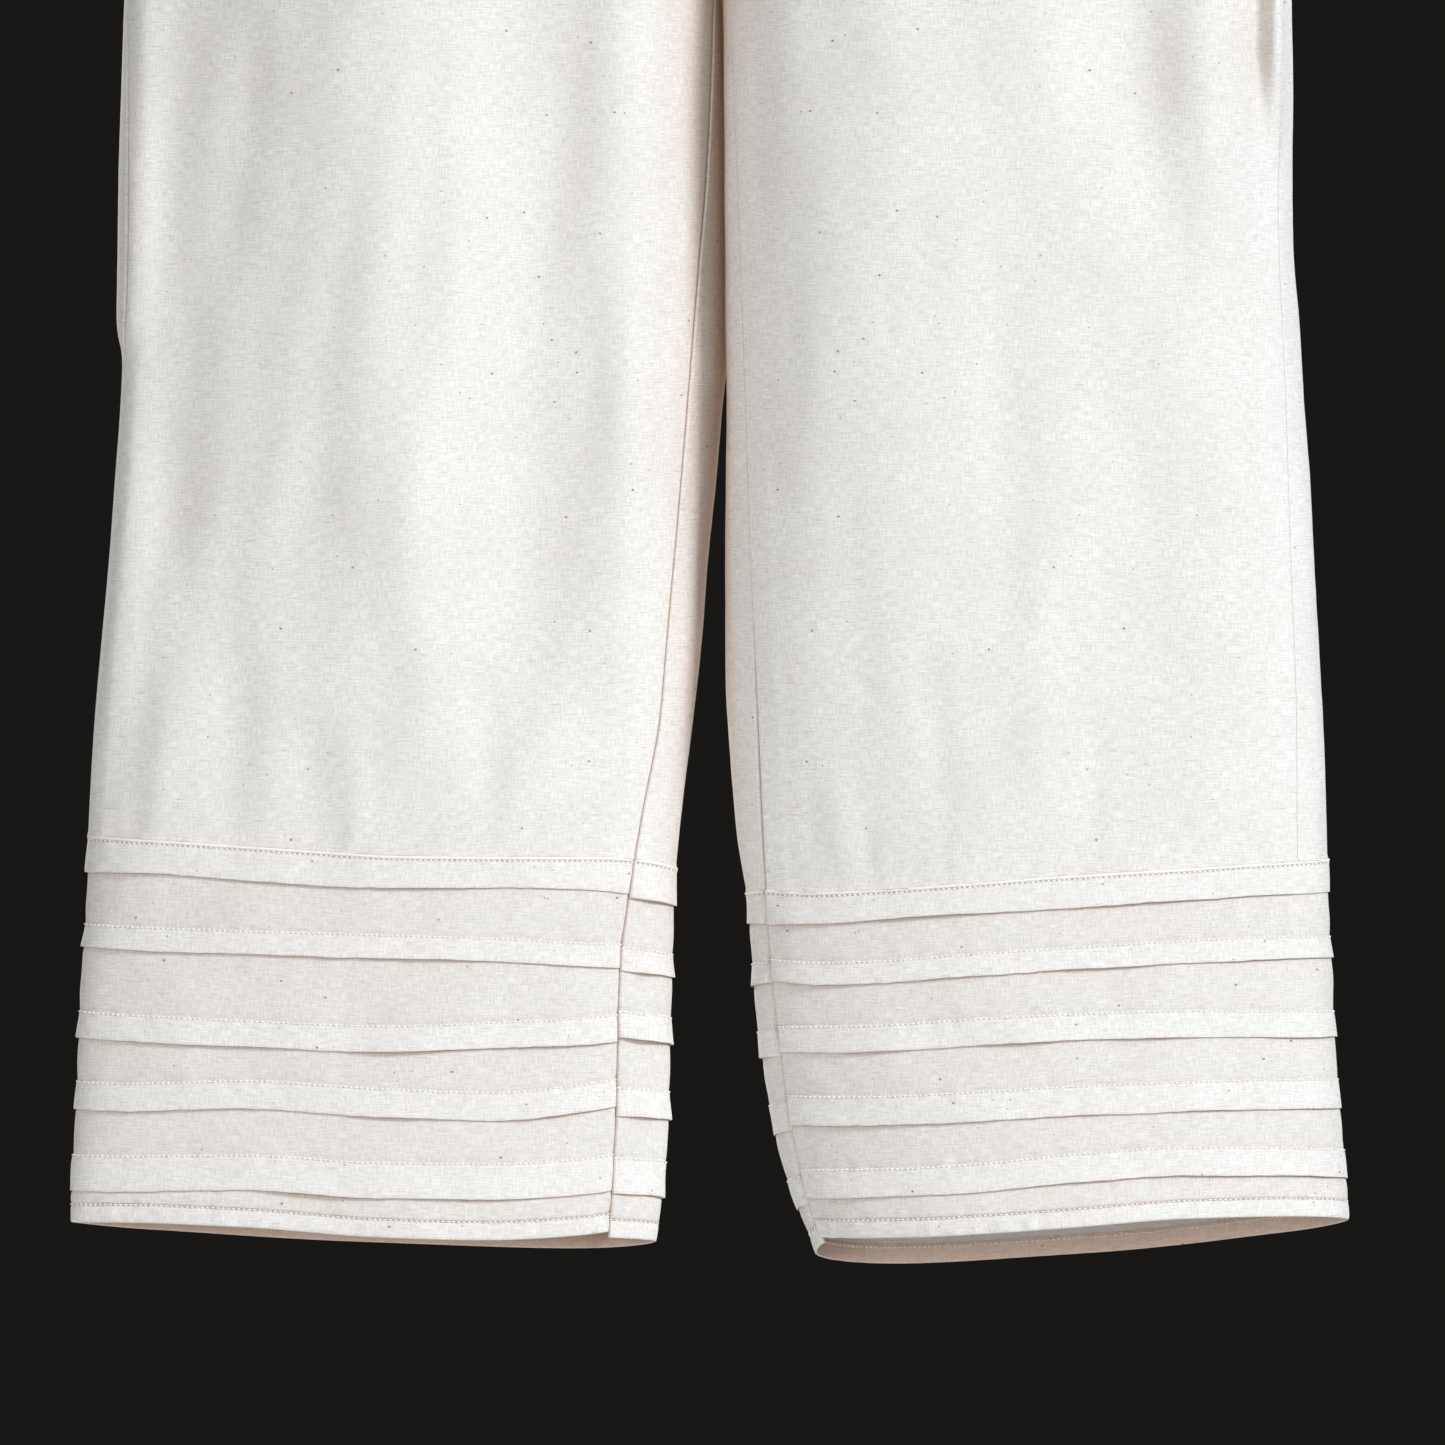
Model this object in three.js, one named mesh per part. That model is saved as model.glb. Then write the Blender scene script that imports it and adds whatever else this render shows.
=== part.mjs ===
// Pull-on trousers of undyed handloom cotton, with an elasticated waist, wide straight legs, in-seam
// side pockets and deep cuffs of five tucks each. They hang filled out and hollow, as when they are
// held at the waist. Millimetres, +Z up, the front faces -Y, and +X is the right of someone who looks
// at the front. The origin is the middle of the waist opening, at the top of the waistband.
//
// Each leg is a closed tube below the crotch and an open half of the hips above it. A point of it is
// named by its height and by its angle round the leg: 0 at the inner fold, 90 degrees in the middle of
// the front, 180 at the outer fold and 270 in the middle of the back. The pieces are walls on that
// surface, cut along the seams, with the cuffs' tucks raised in their outer points.

import * as THREE from "three";

// The cloth and its seams.
const CLOTH_WALL = 1.2;
const SEAM_GAP = 0.3;
const COTTON = { color: 0xefe9de, roughness: 0.92, metalness: 0 };

// Heights on the garment.
const BAND_HEIGHT = 38;
const CROTCH_Z = -260;
const FRONT_RISE = 170; // the crotch curve is this tall in front before it runs straight up
const BACK_RISE = 215;
const RISE_EASE = 1.5; // how softly the crotch curve starts
const CROTCH_RELIEF = 1.2; // the four panels draw back this far where their seams meet
const CROTCH_RELIEF_REACH = 8;
const SEAM_TABLE_TOP = -314; // the seams' places are given below this height
const INSEAM_TURN = 60; // the inseam moves from the inner fold to the front over this height
const SIDE_SEAM_TURN = 240; // the side seam moves from the outer fold to the front over this height

// The section is an ellipse at the waist and fuller at its sides in the legs.
const WAIST_ROUNDNESS = 2;
const LEG_ROUNDNESS = 3;
const ROUNDNESS_REACH = 200;

// The elastic casing at the waist.
const BAND_WALL = 3;
const BAND_EDGE_WALL = 2;
const BAND_GATHERS = 40;
const BAND_GATHER_DEPTH = 1.1;

// The gathers that run down from the waistband into each panel.
const PANEL_GATHERS = 5;
const GATHER_DEPTH = 6.5;
const GATHER_PEAK_Z = -64;
const GATHER_END_Z = -225;
const GATHER_AT_BAND = 0.25; // how much of their depth they have at the waistband's seam

// How finely the walls are cut.
const PANEL_COLUMNS = 20;
const COLUMNS_PER_GATHER = 4;
const LEAST_COLUMN = 0.03; // radians
const HIP_ROWS = [-52, -72, -100, -140, -185, -220, -243, -255, -260];
const LEG_ROWS = [0.012, 0.055, 0.118, 0.215, 0.32, 0.41, 0.5, 0.61, 0.73, 0.84, 0.93, 1];
const POCKET_COLUMNS = 8;
const POCKET_ROWS = 10;
const EVEN_WAIST_HEIGHT = 120; // the columns are spread evenly round the waist from here up
const STEP_ROUND = 0.04; // radians, for the surface's direction
const STEP_DOWN = 1;
const TINY_ANGLE = 1e-4;
const MOST_DRAWN_BACK = 0.6; // radians
const HALVINGS = 30; // to find the angle that lies a given distance from a seam
const CENTRE_BLEND = 0.2; // radians beside a centre seam where the wall turns into the middle plane

// The side pocket: a mouth in the side seam and a flat bag of two plies behind the front panel.
const MOUTH_TOP_Z = -232;
const MOUTH_END_Z = -402;
const MOUTH_GAPE = 8.5; // how far the right pocket's front edge stands off its seam
const MOUTH_ROLL = 3; // how far that edge rolls inwards
const MOUTH_ROLL_WIDTH = 16;
const MOUTH_TOP_EASE = 30;
const MOUTH_END_EASE = 70;
const BAG_TOP_Z = -218;
const BAG_END_Z = -452;
const BAG_WIDTH = 145;
const BAG_CURVE_START = 0.6; // the bag's lower corner is rounded from this share of its height
const BAG_CURVE_REACH = 0.42;
const BAG_WALL = 2;
const BAG_PAST_SEAM = 0.08; // radians round the leg, behind the back edge of an open mouth
const BAG_SHORT_OF_SEAM = 0.04; // radians round the leg, behind a closed mouth
const BAG_CLEAR_AT_SEAM = 0.8; // between the bag and the panel, beside the seam that carries it
const BAG_CLEAR_INSIDE = 1.8;
const BAG_CLEAR_WIDTH = 30;

// Each leg's outline: x of the outer and inner folds, and y of both folds.
const LEFT_OUTLINE = [
  { z: -38, outer: -152, inner: 0, innerY: 0, outerY: 0 },
  { z: -72, outer: -179, inner: 0, innerY: 0, outerY: 0 },
  { z: -110, outer: -207, inner: 0, innerY: 0, outerY: 0 },
  { z: -150, outer: -231, inner: 0, innerY: 0, outerY: 0 },
  { z: -200, outer: -254, inner: 0, innerY: 3, outerY: 0 },
  { z: -240, outer: -267, inner: 0, innerY: 5, outerY: 0 },
  { z: -254, outer: -270.5, inner: -0.95, innerY: 6, outerY: 0 },
  { z: -262, outer: -272.3, inner: -1, innerY: 6.5, outerY: 0 },
  { z: -290, outer: -278, inner: -0.8, innerY: 10, outerY: 0 },
  { z: -314, outer: -281.4, inner: 3, innerY: 13.5, outerY: 0 },
  { z: -350, outer: -282.6, inner: 5.2, innerY: 17, outerY: 0 },
  { z: -400, outer: -284, inner: 5.5, innerY: 18, outerY: 0 },
  { z: -466, outer: -284.8, inner: 5.2, innerY: 17, outerY: 0 },
  { z: -486, outer: -282, inner: 4.8, innerY: 16, outerY: 0 },
  { z: -505, outer: -282.8, inner: 2.9, innerY: 15, outerY: 0 },
  { z: -543, outer: -285.6, inner: -0.5, innerY: 13, outerY: 0 },
  { z: -581, outer: -288.4, inner: -4.3, innerY: 11, outerY: 0 },
  { z: -619, outer: -291.9, inner: -7.1, innerY: 9, outerY: 0 },
  { z: -657, outer: -295.2, inner: -11, innerY: 7, outerY: 0 },
  { z: -695, outer: -297.6, inner: -15.7, innerY: 5, outerY: 0 },
  { z: -740, outer: -299.6, inner: -20, innerY: 3, outerY: 0 },
  { z: -790, outer: -302.4, inner: -22, innerY: 2, outerY: 0 },
  { z: -845, outer: -304.6, inner: -22.8, innerY: 2, outerY: 0 },
  { z: -880, outer: -306.6, inner: -25.8, innerY: 2, outerY: 0 },
  { z: -925, outer: -308, inner: -31, innerY: 2, outerY: 0 },
];
const RIGHT_OUTLINE = [
  { z: -38, outer: 152, inner: 0, innerY: 0, outerY: 0 },
  { z: -72, outer: 178, inner: 0, innerY: 0, outerY: 0 },
  { z: -110, outer: 205, inner: 0, innerY: 0, outerY: 0 },
  { z: -150, outer: 228, inner: 0, innerY: 0, outerY: 0 },
  { z: -200, outer: 249, inner: 0, innerY: 3, outerY: 0 },
  { z: -240, outer: 261, inner: 0, innerY: 5, outerY: 0 },
  { z: -254, outer: 264.5, inner: 0.95, innerY: 5.5, outerY: 0 },
  { z: -262, outer: 266.3, inner: 1, innerY: 5.5, outerY: 0 },
  { z: -290, outer: 271.5, inner: 2.4, innerY: 3.8, outerY: 0 },
  { z: -314, outer: 273.8, inner: 4, innerY: 1.8, outerY: 0 },
  { z: -350, outer: 273.8, inner: 4.8, innerY: -0.6, outerY: 0 },
  { z: -400, outer: 273.4, inner: 5.2, innerY: -2, outerY: 0 },
  { z: -428, outer: 273.8, inner: 5.2, innerY: -2, outerY: 0 },
  { z: -466, outer: 276.7, inner: 5.2, innerY: -2, outerY: 0 },
  { z: -505, outer: 279.5, inner: 5.2, innerY: -2, outerY: 0 },
  { z: -543, outer: 282.4, inner: 4.9, innerY: -2, outerY: 0 },
  { z: -581, outer: 284.4, inner: 4.6, innerY: -2, outerY: 0 },
  { z: -638, outer: 287.9, inner: 4.8, innerY: -2, outerY: 0 },
  { z: -676, outer: 289.6, inner: 7.1, innerY: -1, outerY: 0 },
  { z: -714, outer: 290.5, inner: 10.5, innerY: 0, outerY: 0 },
  { z: -746, outer: 291.2, inner: 16.2, innerY: 1, outerY: 0 },
  { z: -785, outer: 293, inner: 18.6, innerY: 2, outerY: 0 },
  { z: -815, outer: 295, inner: 21.8, innerY: 3, outerY: 0 },
  { z: -845, outer: 297, inner: 26.7, innerY: 4, outerY: 0 },
  { z: -876, outer: 300, inner: 34.3, innerY: 5, outerY: 0 },
  { z: -891, outer: 301, inner: 40, innerY: 5, outerY: 0 },
  { z: -910, outer: 301, inner: 47, innerY: 6, outerY: 0 },
  { z: -925, outer: 301, inner: 52, innerY: 6, outerY: 0 },
];

// How far the front and the back stand off the folds, at each height.
const LEFT_DEPTH = [
  { z: -38, front: 72, back: 72 },
  { z: -72, front: 75, back: 76 },
  { z: -110, front: 76, back: 79 },
  { z: -150, front: 74, back: 78 },
  { z: -200, front: 68, back: 74 },
  { z: -260, front: 60, back: 65 },
  { z: -314, front: 54, back: 57 },
  { z: -400, front: 48, back: 50 },
  { z: -500, front: 43, back: 44 },
  { z: -600, front: 38, back: 39 },
  { z: -700, front: 33, back: 34 },
  { z: -800, front: 29, back: 30 },
  { z: -925, front: 25, back: 26 },
];
const RIGHT_DEPTH = [
  { z: -38, front: 72, back: 72 },
  { z: -72, front: 75, back: 76 },
  { z: -110, front: 76, back: 79 },
  { z: -150, front: 74, back: 78 },
  { z: -200, front: 68, back: 74 },
  { z: -260, front: 60, back: 65 },
  { z: -314, front: 54, back: 57 },
  { z: -400, front: 48, back: 50 },
  { z: -500, front: 44, back: 45 },
  { z: -600, front: 41, back: 42 },
  { z: -700, front: 39, back: 41 },
  { z: -800, front: 41, back: 45 },
  { z: -925, front: 46, back: 53 },
];

// Where the inseam and the side seam run, both on the front: x of each.
const LEFT_SEAMS = [
  { z: -314, inseam: -1.4, side: -279.8 },
  { z: -350, inseam: -2.4, side: -279.4 },
  { z: -400, inseam: -4.8, side: -279.4 },
  { z: -440, inseam: -8.2, side: -279.8 },
  { z: -475, inseam: -11, side: -281 },
  { z: -543, inseam: -16.6, side: -285.4 },
  { z: -619, inseam: -23.4, side: -291.7 },
  { z: -657, inseam: -26.8, side: -295 },
  { z: -702, inseam: -35.2, side: -298 },
  { z: -740, inseam: -41.4, side: -299.4 },
  { z: -774, inseam: -45.7, side: -301 },
  { z: -845, inseam: -47.6, side: -304.4 },
  { z: -925, inseam: -52.5, side: -307.8 },
];
const RIGHT_SEAMS = [
  { z: -314, inseam: 7, side: 267.1 },
  { z: -412, inseam: 11, side: 267.1 },
  { z: -505, inseam: 14.2, side: 270.6 },
  { z: -581, inseam: 16.8, side: 273 },
  { z: -658, inseam: 20, side: 275.7 },
  { z: -704, inseam: 21.9, side: 276 },
  { z: -754, inseam: 25, side: 277 },
  { z: -784, inseam: 27.5, side: 279 },
  { z: -816, inseam: 31.2, side: 281 },
  { z: -847, inseam: 35.6, side: 283 },
  { z: -883, inseam: 43.4, side: 287 },
  { z: -925, inseam: 58, side: 287 },
];

// Soft ridges (out above zero) and troughs (out below zero) down the legs. Each runs from its top to
// its bottom, fades over its fade length at both ends, and drifts sideways from x to toX.
const LEFT_FRONT_FOLDS = [
  { top: -150, bottom: -640, x: -246, toX: -264, width: 26, out: -4, fade: 110 },
  { top: -120, bottom: -660, x: -172, toX: -150, width: 38, out: 3, fade: 120 },
  { top: -130, bottom: -700, x: -79, toX: -92, width: 32, out: -4, fade: 120 },
  { top: -180, bottom: -700, x: -41, toX: -44, width: 22, out: 2, fade: 100 },
  { top: -600, bottom: -740, x: -229, toX: -229, width: 15, out: -1.6, fade: 50 },
  { top: -640, bottom: -740, x: -196, toX: -190, width: 14, out: -1.4, fade: 40 },
];
const LEFT_BACK_FOLDS = [
  { top: -140, bottom: -560, x: -214, toX: -236, width: 30, out: -4, fade: 120 },
  { top: -120, bottom: -690, x: -150, toX: -164, width: 34, out: 3.5, fade: 130 },
  { top: -160, bottom: -620, x: -96, toX: -76, width: 30, out: -4.5, fade: 110 },
  { top: -420, bottom: -730, x: -118, toX: -126, width: 22, out: -2, fade: 90 },
];
const RIGHT_FRONT_FOLDS = [
  { top: -130, bottom: -710, x: 74, toX: 106, width: 42, out: 3.5, fade: 130 },
  { top: -150, bottom: -440, x: 186, toX: 204, width: 26, out: -4.5, fade: 100 },
  { top: -150, bottom: -470, x: 236, toX: 246, width: 20, out: 2.5, fade: 110 },
  { top: -420, bottom: -740, x: 196, toX: 204, width: 20, out: -1.6, fade: 90 },
  { top: -560, bottom: -740, x: 236, toX: 232, width: 20, out: 1.4, fade: 60 },
];
const RIGHT_BACK_FOLDS = [
  { top: -130, bottom: -600, x: 88, toX: 70, width: 30, out: -4.5, fade: 120 },
  { top: -120, bottom: -700, x: 140, toX: 162, width: 36, out: 3.5, fade: 130 },
  { top: -150, bottom: -540, x: 206, toX: 224, width: 28, out: -4, fade: 110 },
  { top: -440, bottom: -730, x: 116, toX: 108, width: 22, out: -2, fade: 90 },
];

// The cuffs: height of the joining seam, of the five tucks' folds and of the hem, at each angle from
// the inseam, round the front first. The last row is the inseam's other side.
const CUFF_COLUMNS = ["at", "join", "fold1", "fold2", "fold3", "fold4", "fold5", "hem"];
const LEFT_CUFF = table(CUFF_COLUMNS, [
  [0, -723, -739.7, -774.5, -809.2, -840.9, -880.2, -900.2],
  [11, -722.1, -737.8, -773.9, -810.9, -843.5, -882.6, -902.1],
  [31, -722, -736.4, -771.6, -812.8, -847.1, -884.5, -904],
  [53, -721.6, -736.9, -770, -814.5, -845.4, -884, -902.7],
  [81, -717.8, -734, -768.1, -812.1, -841.6, -880.4, -897.8],
  [111, -714, -729.6, -766.2, -809.5, -843, -881.1, -895.9],
  [146, -712.1, -729.2, -764.7, -807.8, -842.1, -880.7, -895.9],
  [191, -714, -731, -766.5, -810, -844.5, -883, -900],
  [236, -719, -736, -771, -813, -847, -887, -906],
  [281, -723, -741, -776, -813, -849, -888, -909],
  [326, -727.6, -745.4, -779.5, -811.1, -847.3, -884.2, -905.4],
  [360, -723, -741, -776, -807.8, -845, -882, -903],
]);
const RIGHT_CUFF = table(CUFF_COLUMNS, [
  [0, -737.5, -754.5, -780.9, -815, -849.2, -884, -903],
  [18, -738.8, -753.5, -782.4, -814.8, -849.7, -883.7, -903],
  [35, -737.6, -751.9, -781.6, -813.9, -849.1, -883, -902.4],
  [55, -734.5, -748.8, -778.3, -810.9, -846.9, -880.2, -900.2],
  [73, -731.1, -746.5, -775.6, -808.9, -844.4, -875.9, -897.3],
  [97, -727.8, -743, -772.4, -807.3, -842.6, -873.1, -893.4],
  [120, -725, -740.4, -770.5, -807.6, -841.6, -873.5, -892.6],
  [160, -723, -738.8, -770.2, -807.8, -841.6, -875, -894.5],
  [205, -726, -743, -774, -811, -846, -881, -902],
  [250, -733, -750, -781, -818, -853, -889, -912],
  [295, -738, -755, -786, -821, -858, -894, -917],
  [340, -739, -754, -783.5, -817.8, -854.5, -890.2, -912],
  [360, -737.5, -753.8, -782, -816.5, -852, -887, -906],
]);

// How deep each tuck is, from its stitching to its fold, and the hem's turn-up.
const LEFT_TUCK_DEPTHS = [null, 11.5, 13, 14, 17.5];
const RIGHT_TUCK_DEPTHS = [null, 11, 13, 14.5, 14];
const HEM_DEPTH = 8.8;
const FLAP_HEIGHT = 1.8; // a tuck's two plies at its fold, above the cloth under them
const FLAP_EDGE_HEIGHT = 1.4;
const FLAP_ROUND = 2.2;
const RIDGE_HEIGHT = 0.8; // the joining seam's own plies
const HEM_PLY = 0.8;
const HEM_STEP = 1;

const TURN = 2 * Math.PI;
const DEGREE = Math.PI / 180;

function table(columns, rows) {
  return rows.map((row) => Object.fromEntries(columns.map((column, i) => [column, row[i]])));
}

function clamp(value, low, high) {
  return Math.min(Math.max(value, low), high);
}

function smooth(value) {
  const t = clamp(value, 0, 1);
  return t * t * (3 - 2 * t);
}

// Reads one column of a table as a smooth curve that never overshoots its rows.
function curve(rows, column, key = "z") {
  const knots = rows.map((row) => [row[key], row[column]]).sort((a, b) => a[0] - b[0]);
  const rises = knots.slice(1).map((knot, i) => (knot[1] - knots[i][1]) / (knot[0] - knots[i][0]));
  const slopes = knots.map((_, i) => {
    const before = rises[Math.max(i - 1, 0)];
    const after = rises[Math.min(i, rises.length - 1)];
    return before * after > 0 ? (2 * before * after) / (before + after) : 0;
  });
  return (at) => {
    const last = knots.length - 1;
    if (at <= knots[0][0]) return knots[0][1];
    if (at >= knots[last][0]) return knots[last][1];
    const i = knots.findIndex((knot) => knot[0] > at) - 1;
    const length = knots[i + 1][0] - knots[i][0];
    const t = (at - knots[i][0]) / length;
    const rise = knots[i + 1][1] - knots[i][1];
    const start = slopes[i] * length;
    const end = slopes[i + 1] * length;
    const bend = (3 * rise - 2 * start - end) * t ** 2 + (start + end - 2 * rise) * t ** 3;
    return knots[i][1] + start * t + bend;
  };
}

// One leg with its tables as curves. side is -1 for the left leg and 1 for the right.
function makeLeg(side, outline, depth, seams, frontFolds, backFolds, cuff, tuckDepths, gape) {
  const leg = { side, frontFolds, backFolds, tuckDepths, gape };
  for (const column of ["outer", "inner", "innerY", "outerY"]) leg[column] = curve(outline, column);
  for (const column of ["front", "back"]) leg[column] = curve(depth, column);
  for (const column of ["inseam", "side"]) leg[`${column}X`] = curve(seams, column);
  leg.lines = {};
  for (const column of Object.keys(cuff[0]).slice(1)) leg.lines[column] = curve(cuff, column, "at");
  return leg;
}

// The angle at which the front of a leg reaches a given x.
function angleAt(leg, z, x) {
  const part = (x - leg.inner(z)) / (leg.outer(z) - leg.inner(z));
  return Math.acos(1 - 2 * clamp(part, 0, 1));
}

// The inseam starts at the crotch on the inner fold and moves on to the front below it.
function inseamAngle(leg, z) {
  const read = Math.min(z, SEAM_TABLE_TOP);
  return angleAt(leg, read, leg.inseamX(read)) * smooth((CROTCH_Z - z) / INSEAM_TURN);
}

// The side seam runs down the outer fold at the hips and moves on to the front lower down.
function sideAngle(leg, z) {
  const read = Math.min(z, SEAM_TABLE_TOP);
  const full = angleAt(leg, read, leg.sideX(read));
  return Math.PI + (full - Math.PI) * smooth((-BAND_HEIGHT - z) / SIDE_SEAM_TURN);
}

function foldHeight(folds, x, z) {
  let height = 0;
  for (const fold of folds) {
    const along = (fold.top - z) / (fold.top - fold.bottom);
    const centre = fold.x + (fold.toX - fold.x) * clamp(along, 0, 1);
    const ends = smooth((fold.top - z) / fold.fade) * smooth((z - fold.bottom) / fold.fade);
    height += fold.out * ends * Math.exp(-(((x - centre) / fold.width) ** 2));
  }
  return height;
}

// The leg's surface without its gathers.
function plainPoint(leg, z, angle) {
  const turn = ((angle % TURN) + TURN) % TURN;
  const part = (1 - Math.cos(turn)) / 2;
  const isFront = turn < Math.PI;
  const rise = clamp((z - CROTCH_Z) / (isFront ? FRONT_RISE : BACK_RISE), 0, 1) ** RISE_EASE;
  const near = (1 - Math.min(2 * part, 1)) * (1 - rise);
  const groove = Math.sqrt(1 - near * near);
  const inLeg = smooth((-BAND_HEIGHT - z) / ROUNDNESS_REACH);
  const roundness = WAIST_ROUNDNESS + (LEG_ROUNDNESS - WAIST_ROUNDNESS) * inLeg;
  const swell = Math.sqrt(1 - part ** roundness) * groove;
  const x = leg.inner(z) + (leg.outer(z) - leg.inner(z)) * part;
  const folds = foldHeight(isFront ? leg.frontFolds : leg.backFolds, x, z);
  const depth = (isFront ? leg.front(z) : leg.back(z)) * swell + folds * Math.sqrt(Math.abs(Math.sin(turn)));
  const y = leg.innerY(z) * (1 - part) + leg.outerY(z) * part + (isFront ? -depth : depth);
  return new THREE.Vector3(x, y, z);
}

// The outward direction of a surface. Above the crotch it looks only to its own side of the centre.
function outward(leg, z, angle, pointAt) {
  const centred = z > CROTCH_Z - STEP_DOWN;
  const low = centred ? Math.max(angle - STEP_ROUND, TINY_ANGLE) : angle - STEP_ROUND;
  const high = centred ? Math.min(angle + STEP_ROUND, TURN - TINY_ANGLE) : angle + STEP_ROUND;
  const round = pointAt(leg, z, high).sub(pointAt(leg, z, low));
  const up = pointAt(leg, z + STEP_DOWN, angle).sub(pointAt(leg, z - STEP_DOWN, angle));
  return round.cross(up).multiplyScalar(leg.side).normalize();
}

// The gathers are evenly spaced round the waist, shallow at their seam and deepest a little below it.
function gatherHeight(z, angle) {
  const part = (1 - Math.cos(angle)) / 2;
  const wave = Math.sin(4 * PANEL_GATHERS * Math.asin(part));
  const fromBand = smooth((-BAND_HEIGHT - z) / (-BAND_HEIGHT - GATHER_PEAK_Z));
  const start = GATHER_AT_BAND + (1 - GATHER_AT_BAND) * fromBand;
  const end = smooth((z - GATHER_END_Z) / (GATHER_PEAK_Z - GATHER_END_Z));
  return GATHER_DEPTH * wave * start * end;
}

function surfacePoint(leg, z, angle) {
  const point = plainPoint(leg, z, angle);
  if (z <= GATHER_END_Z) return point;
  const sideways = outward(leg, z, angle, plainPoint).setZ(0).normalize();
  return point.addScaledVector(sideways, gatherHeight(z, angle));
}

// The angle that lies a given distance along the surface from an edge, towards the panel's inside.
function drawnBack(leg, z, edge, direction, distance) {
  const start = surfacePoint(leg, z, edge + direction * TINY_ANGLE);
  let low = 0;
  let high = MOST_DRAWN_BACK;
  for (let i = 0; i < HALVINGS; i += 1) {
    const middle = (low + high) / 2;
    const reached = surfacePoint(leg, z, edge + direction * middle).distanceTo(start);
    if (reached < distance) low = middle;
    else high = middle;
  }
  return edge + direction * high;
}

// How far open the pocket mouth is at a height, from 0 to 1.
function mouthOpen(z) {
  return smooth((MOUTH_TOP_Z - z) / MOUTH_TOP_EASE) * smooth((z - MOUTH_END_Z) / MOUTH_END_EASE);
}

function crotchRelief(z) {
  return CROTCH_RELIEF * (1 - smooth(Math.abs(z - CROTCH_Z) / CROTCH_RELIEF_REACH));
}

// The angles of a panel's two edges at a height, with the seam gap taken off.
function panelEdges(leg, z, isFront) {
  const inseam = inseamAngle(leg, z);
  const side = sideAngle(leg, z);
  const inner = SEAM_GAP / 2 + crotchRelief(z);
  const mouth = isFront ? leg.gape * mouthOpen(z) : 0;
  if (isFront) {
    return [drawnBack(leg, z, inseam, 1, inner), drawnBack(leg, z, side, -1, SEAM_GAP / 2 + mouth)];
  }
  return [drawnBack(leg, z, side, 1, SEAM_GAP / 2), drawnBack(leg, z, TURN + inseam, -1, inner)];
}

// Spaces the columns evenly round the leg, and evenly round the waist where the hips are open.
function columnAngle(leg, z, isFront, share) {
  const [start, end] = panelEdges(leg, z, isFront);
  const even = start + (end - start) * share;
  const reach = isFront ? Math.sin((share * Math.PI) / 2) : Math.cos((share * Math.PI) / 2);
  const waist = Math.acos(1 - 2 * reach);
  const low = start + LEAST_COLUMN * PANEL_COLUMNS * share;
  const high = end - LEAST_COLUMN * PANEL_COLUMNS * (1 - share);
  const atWaist = clamp(isFront ? waist : TURN - waist, low, high);
  return even + (atWaist - even) * smooth((z - CROTCH_Z) / EVEN_WAIST_HEIGHT);
}

// The height of one of the cuff's lines at an angle from the inseam.
function lineHeight(leg, name, fromInseam) {
  return leg.lines[name](clamp(fromInseam / DEGREE, 0, 360));
}

// The wall's direction at a point. At the centre seams it lies in the middle plane, so that the two
// sides meet edge to edge, and under the waistband it is level.
function wallDirection(leg, z, angle) {
  const direction = outward(leg, z, angle, surfacePoint);
  if (z > -BAND_HEIGHT - 1) direction.setZ(0).normalize();
  const fromCentre = Math.min(angle, Math.abs(TURN - angle));
  if (z > CROTCH_Z && fromCentre < CENTRE_BLEND) {
    direction.x *= smooth((2 * fromCentre) / CENTRE_BLEND - 1);
    direction.normalize();
  }
  return direction;
}

// Joins closed sections, each a list of points, into one solid. The outer face's points come first, and
// both faces are split along the same diagonals, so that a twisted wall doesn't cross itself. A ring has
// no ends. Otherwise the heights of both faces, from the top down, say how its ends are covered.
function sweep(sections, outerCount, faceHeights) {
  const count = sections[0].length;
  const positions = sections.flat().flatMap((point) => [point.x, point.y, point.z]);
  const triangles = [];
  const isRing = faceHeights === null;
  const spans = isRing ? sections.length : sections.length - 1;
  for (let i = 0; i < spans; i += 1) {
    const here = i * count;
    const there = ((i + 1) % sections.length) * count;
    for (let k = 0; k < count; k += 1) {
      const next = (k + 1) % count;
      if (k < outerCount) {
        triangles.push(here + k, there + k, there + next, here + k, there + next, here + next);
      } else {
        triangles.push(here + k, there + k, here + next, there + k, there + next, here + next);
      }
    }
  }
  if (!isRing) {
    const last = (sections.length - 1) * count;
    for (const [a, b, c] of endTriangles(...faceHeights)) {
      triangles.push(a, b, c);
      triangles.push(last + a, last + c, last + b);
    }
  }
  return facingOut(positions, triangles);
}

// The triangles between a wall's outer and inner faces at one end. The outer points come first from
// the top down, and the inner points follow from the bottom up.
function endTriangles(outer, inner) {
  const triangles = [];
  const innerIndex = (row) => outer.length + inner.length - 1 - row;
  let i = 0;
  let j = 0;
  while (i < outer.length - 1 || j < inner.length - 1) {
    const outerFirst = j === inner.length - 1 || (i < outer.length - 1 && outer[i + 1] >= inner[j + 1]);
    if (outerFirst) {
      triangles.push([i, i + 1, innerIndex(j)]);
      i += 1;
    } else {
      triangles.push([i, innerIndex(j + 1), innerIndex(j)]);
      j += 1;
    }
  }
  return triangles;
}

// A geometry from points and triangles, turned so that its faces point out.
function facingOut(positions, triangles) {
  const at = (i) => new THREE.Vector3(positions[3 * i], positions[3 * i + 1], positions[3 * i + 2]);
  let volume = 0;
  for (let i = 0; i < triangles.length; i += 3) {
    volume += at(triangles[i]).dot(at(triangles[i + 1]).cross(at(triangles[i + 2])));
  }
  const faces = volume > 0 ? triangles : triangles.slice().reverse();
  const geometry = new THREE.BufferGeometry();
  geometry.setAttribute("position", new THREE.Float32BufferAttribute(positions, 3));
  geometry.setIndex(faces);
  return geometry;
}

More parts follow.
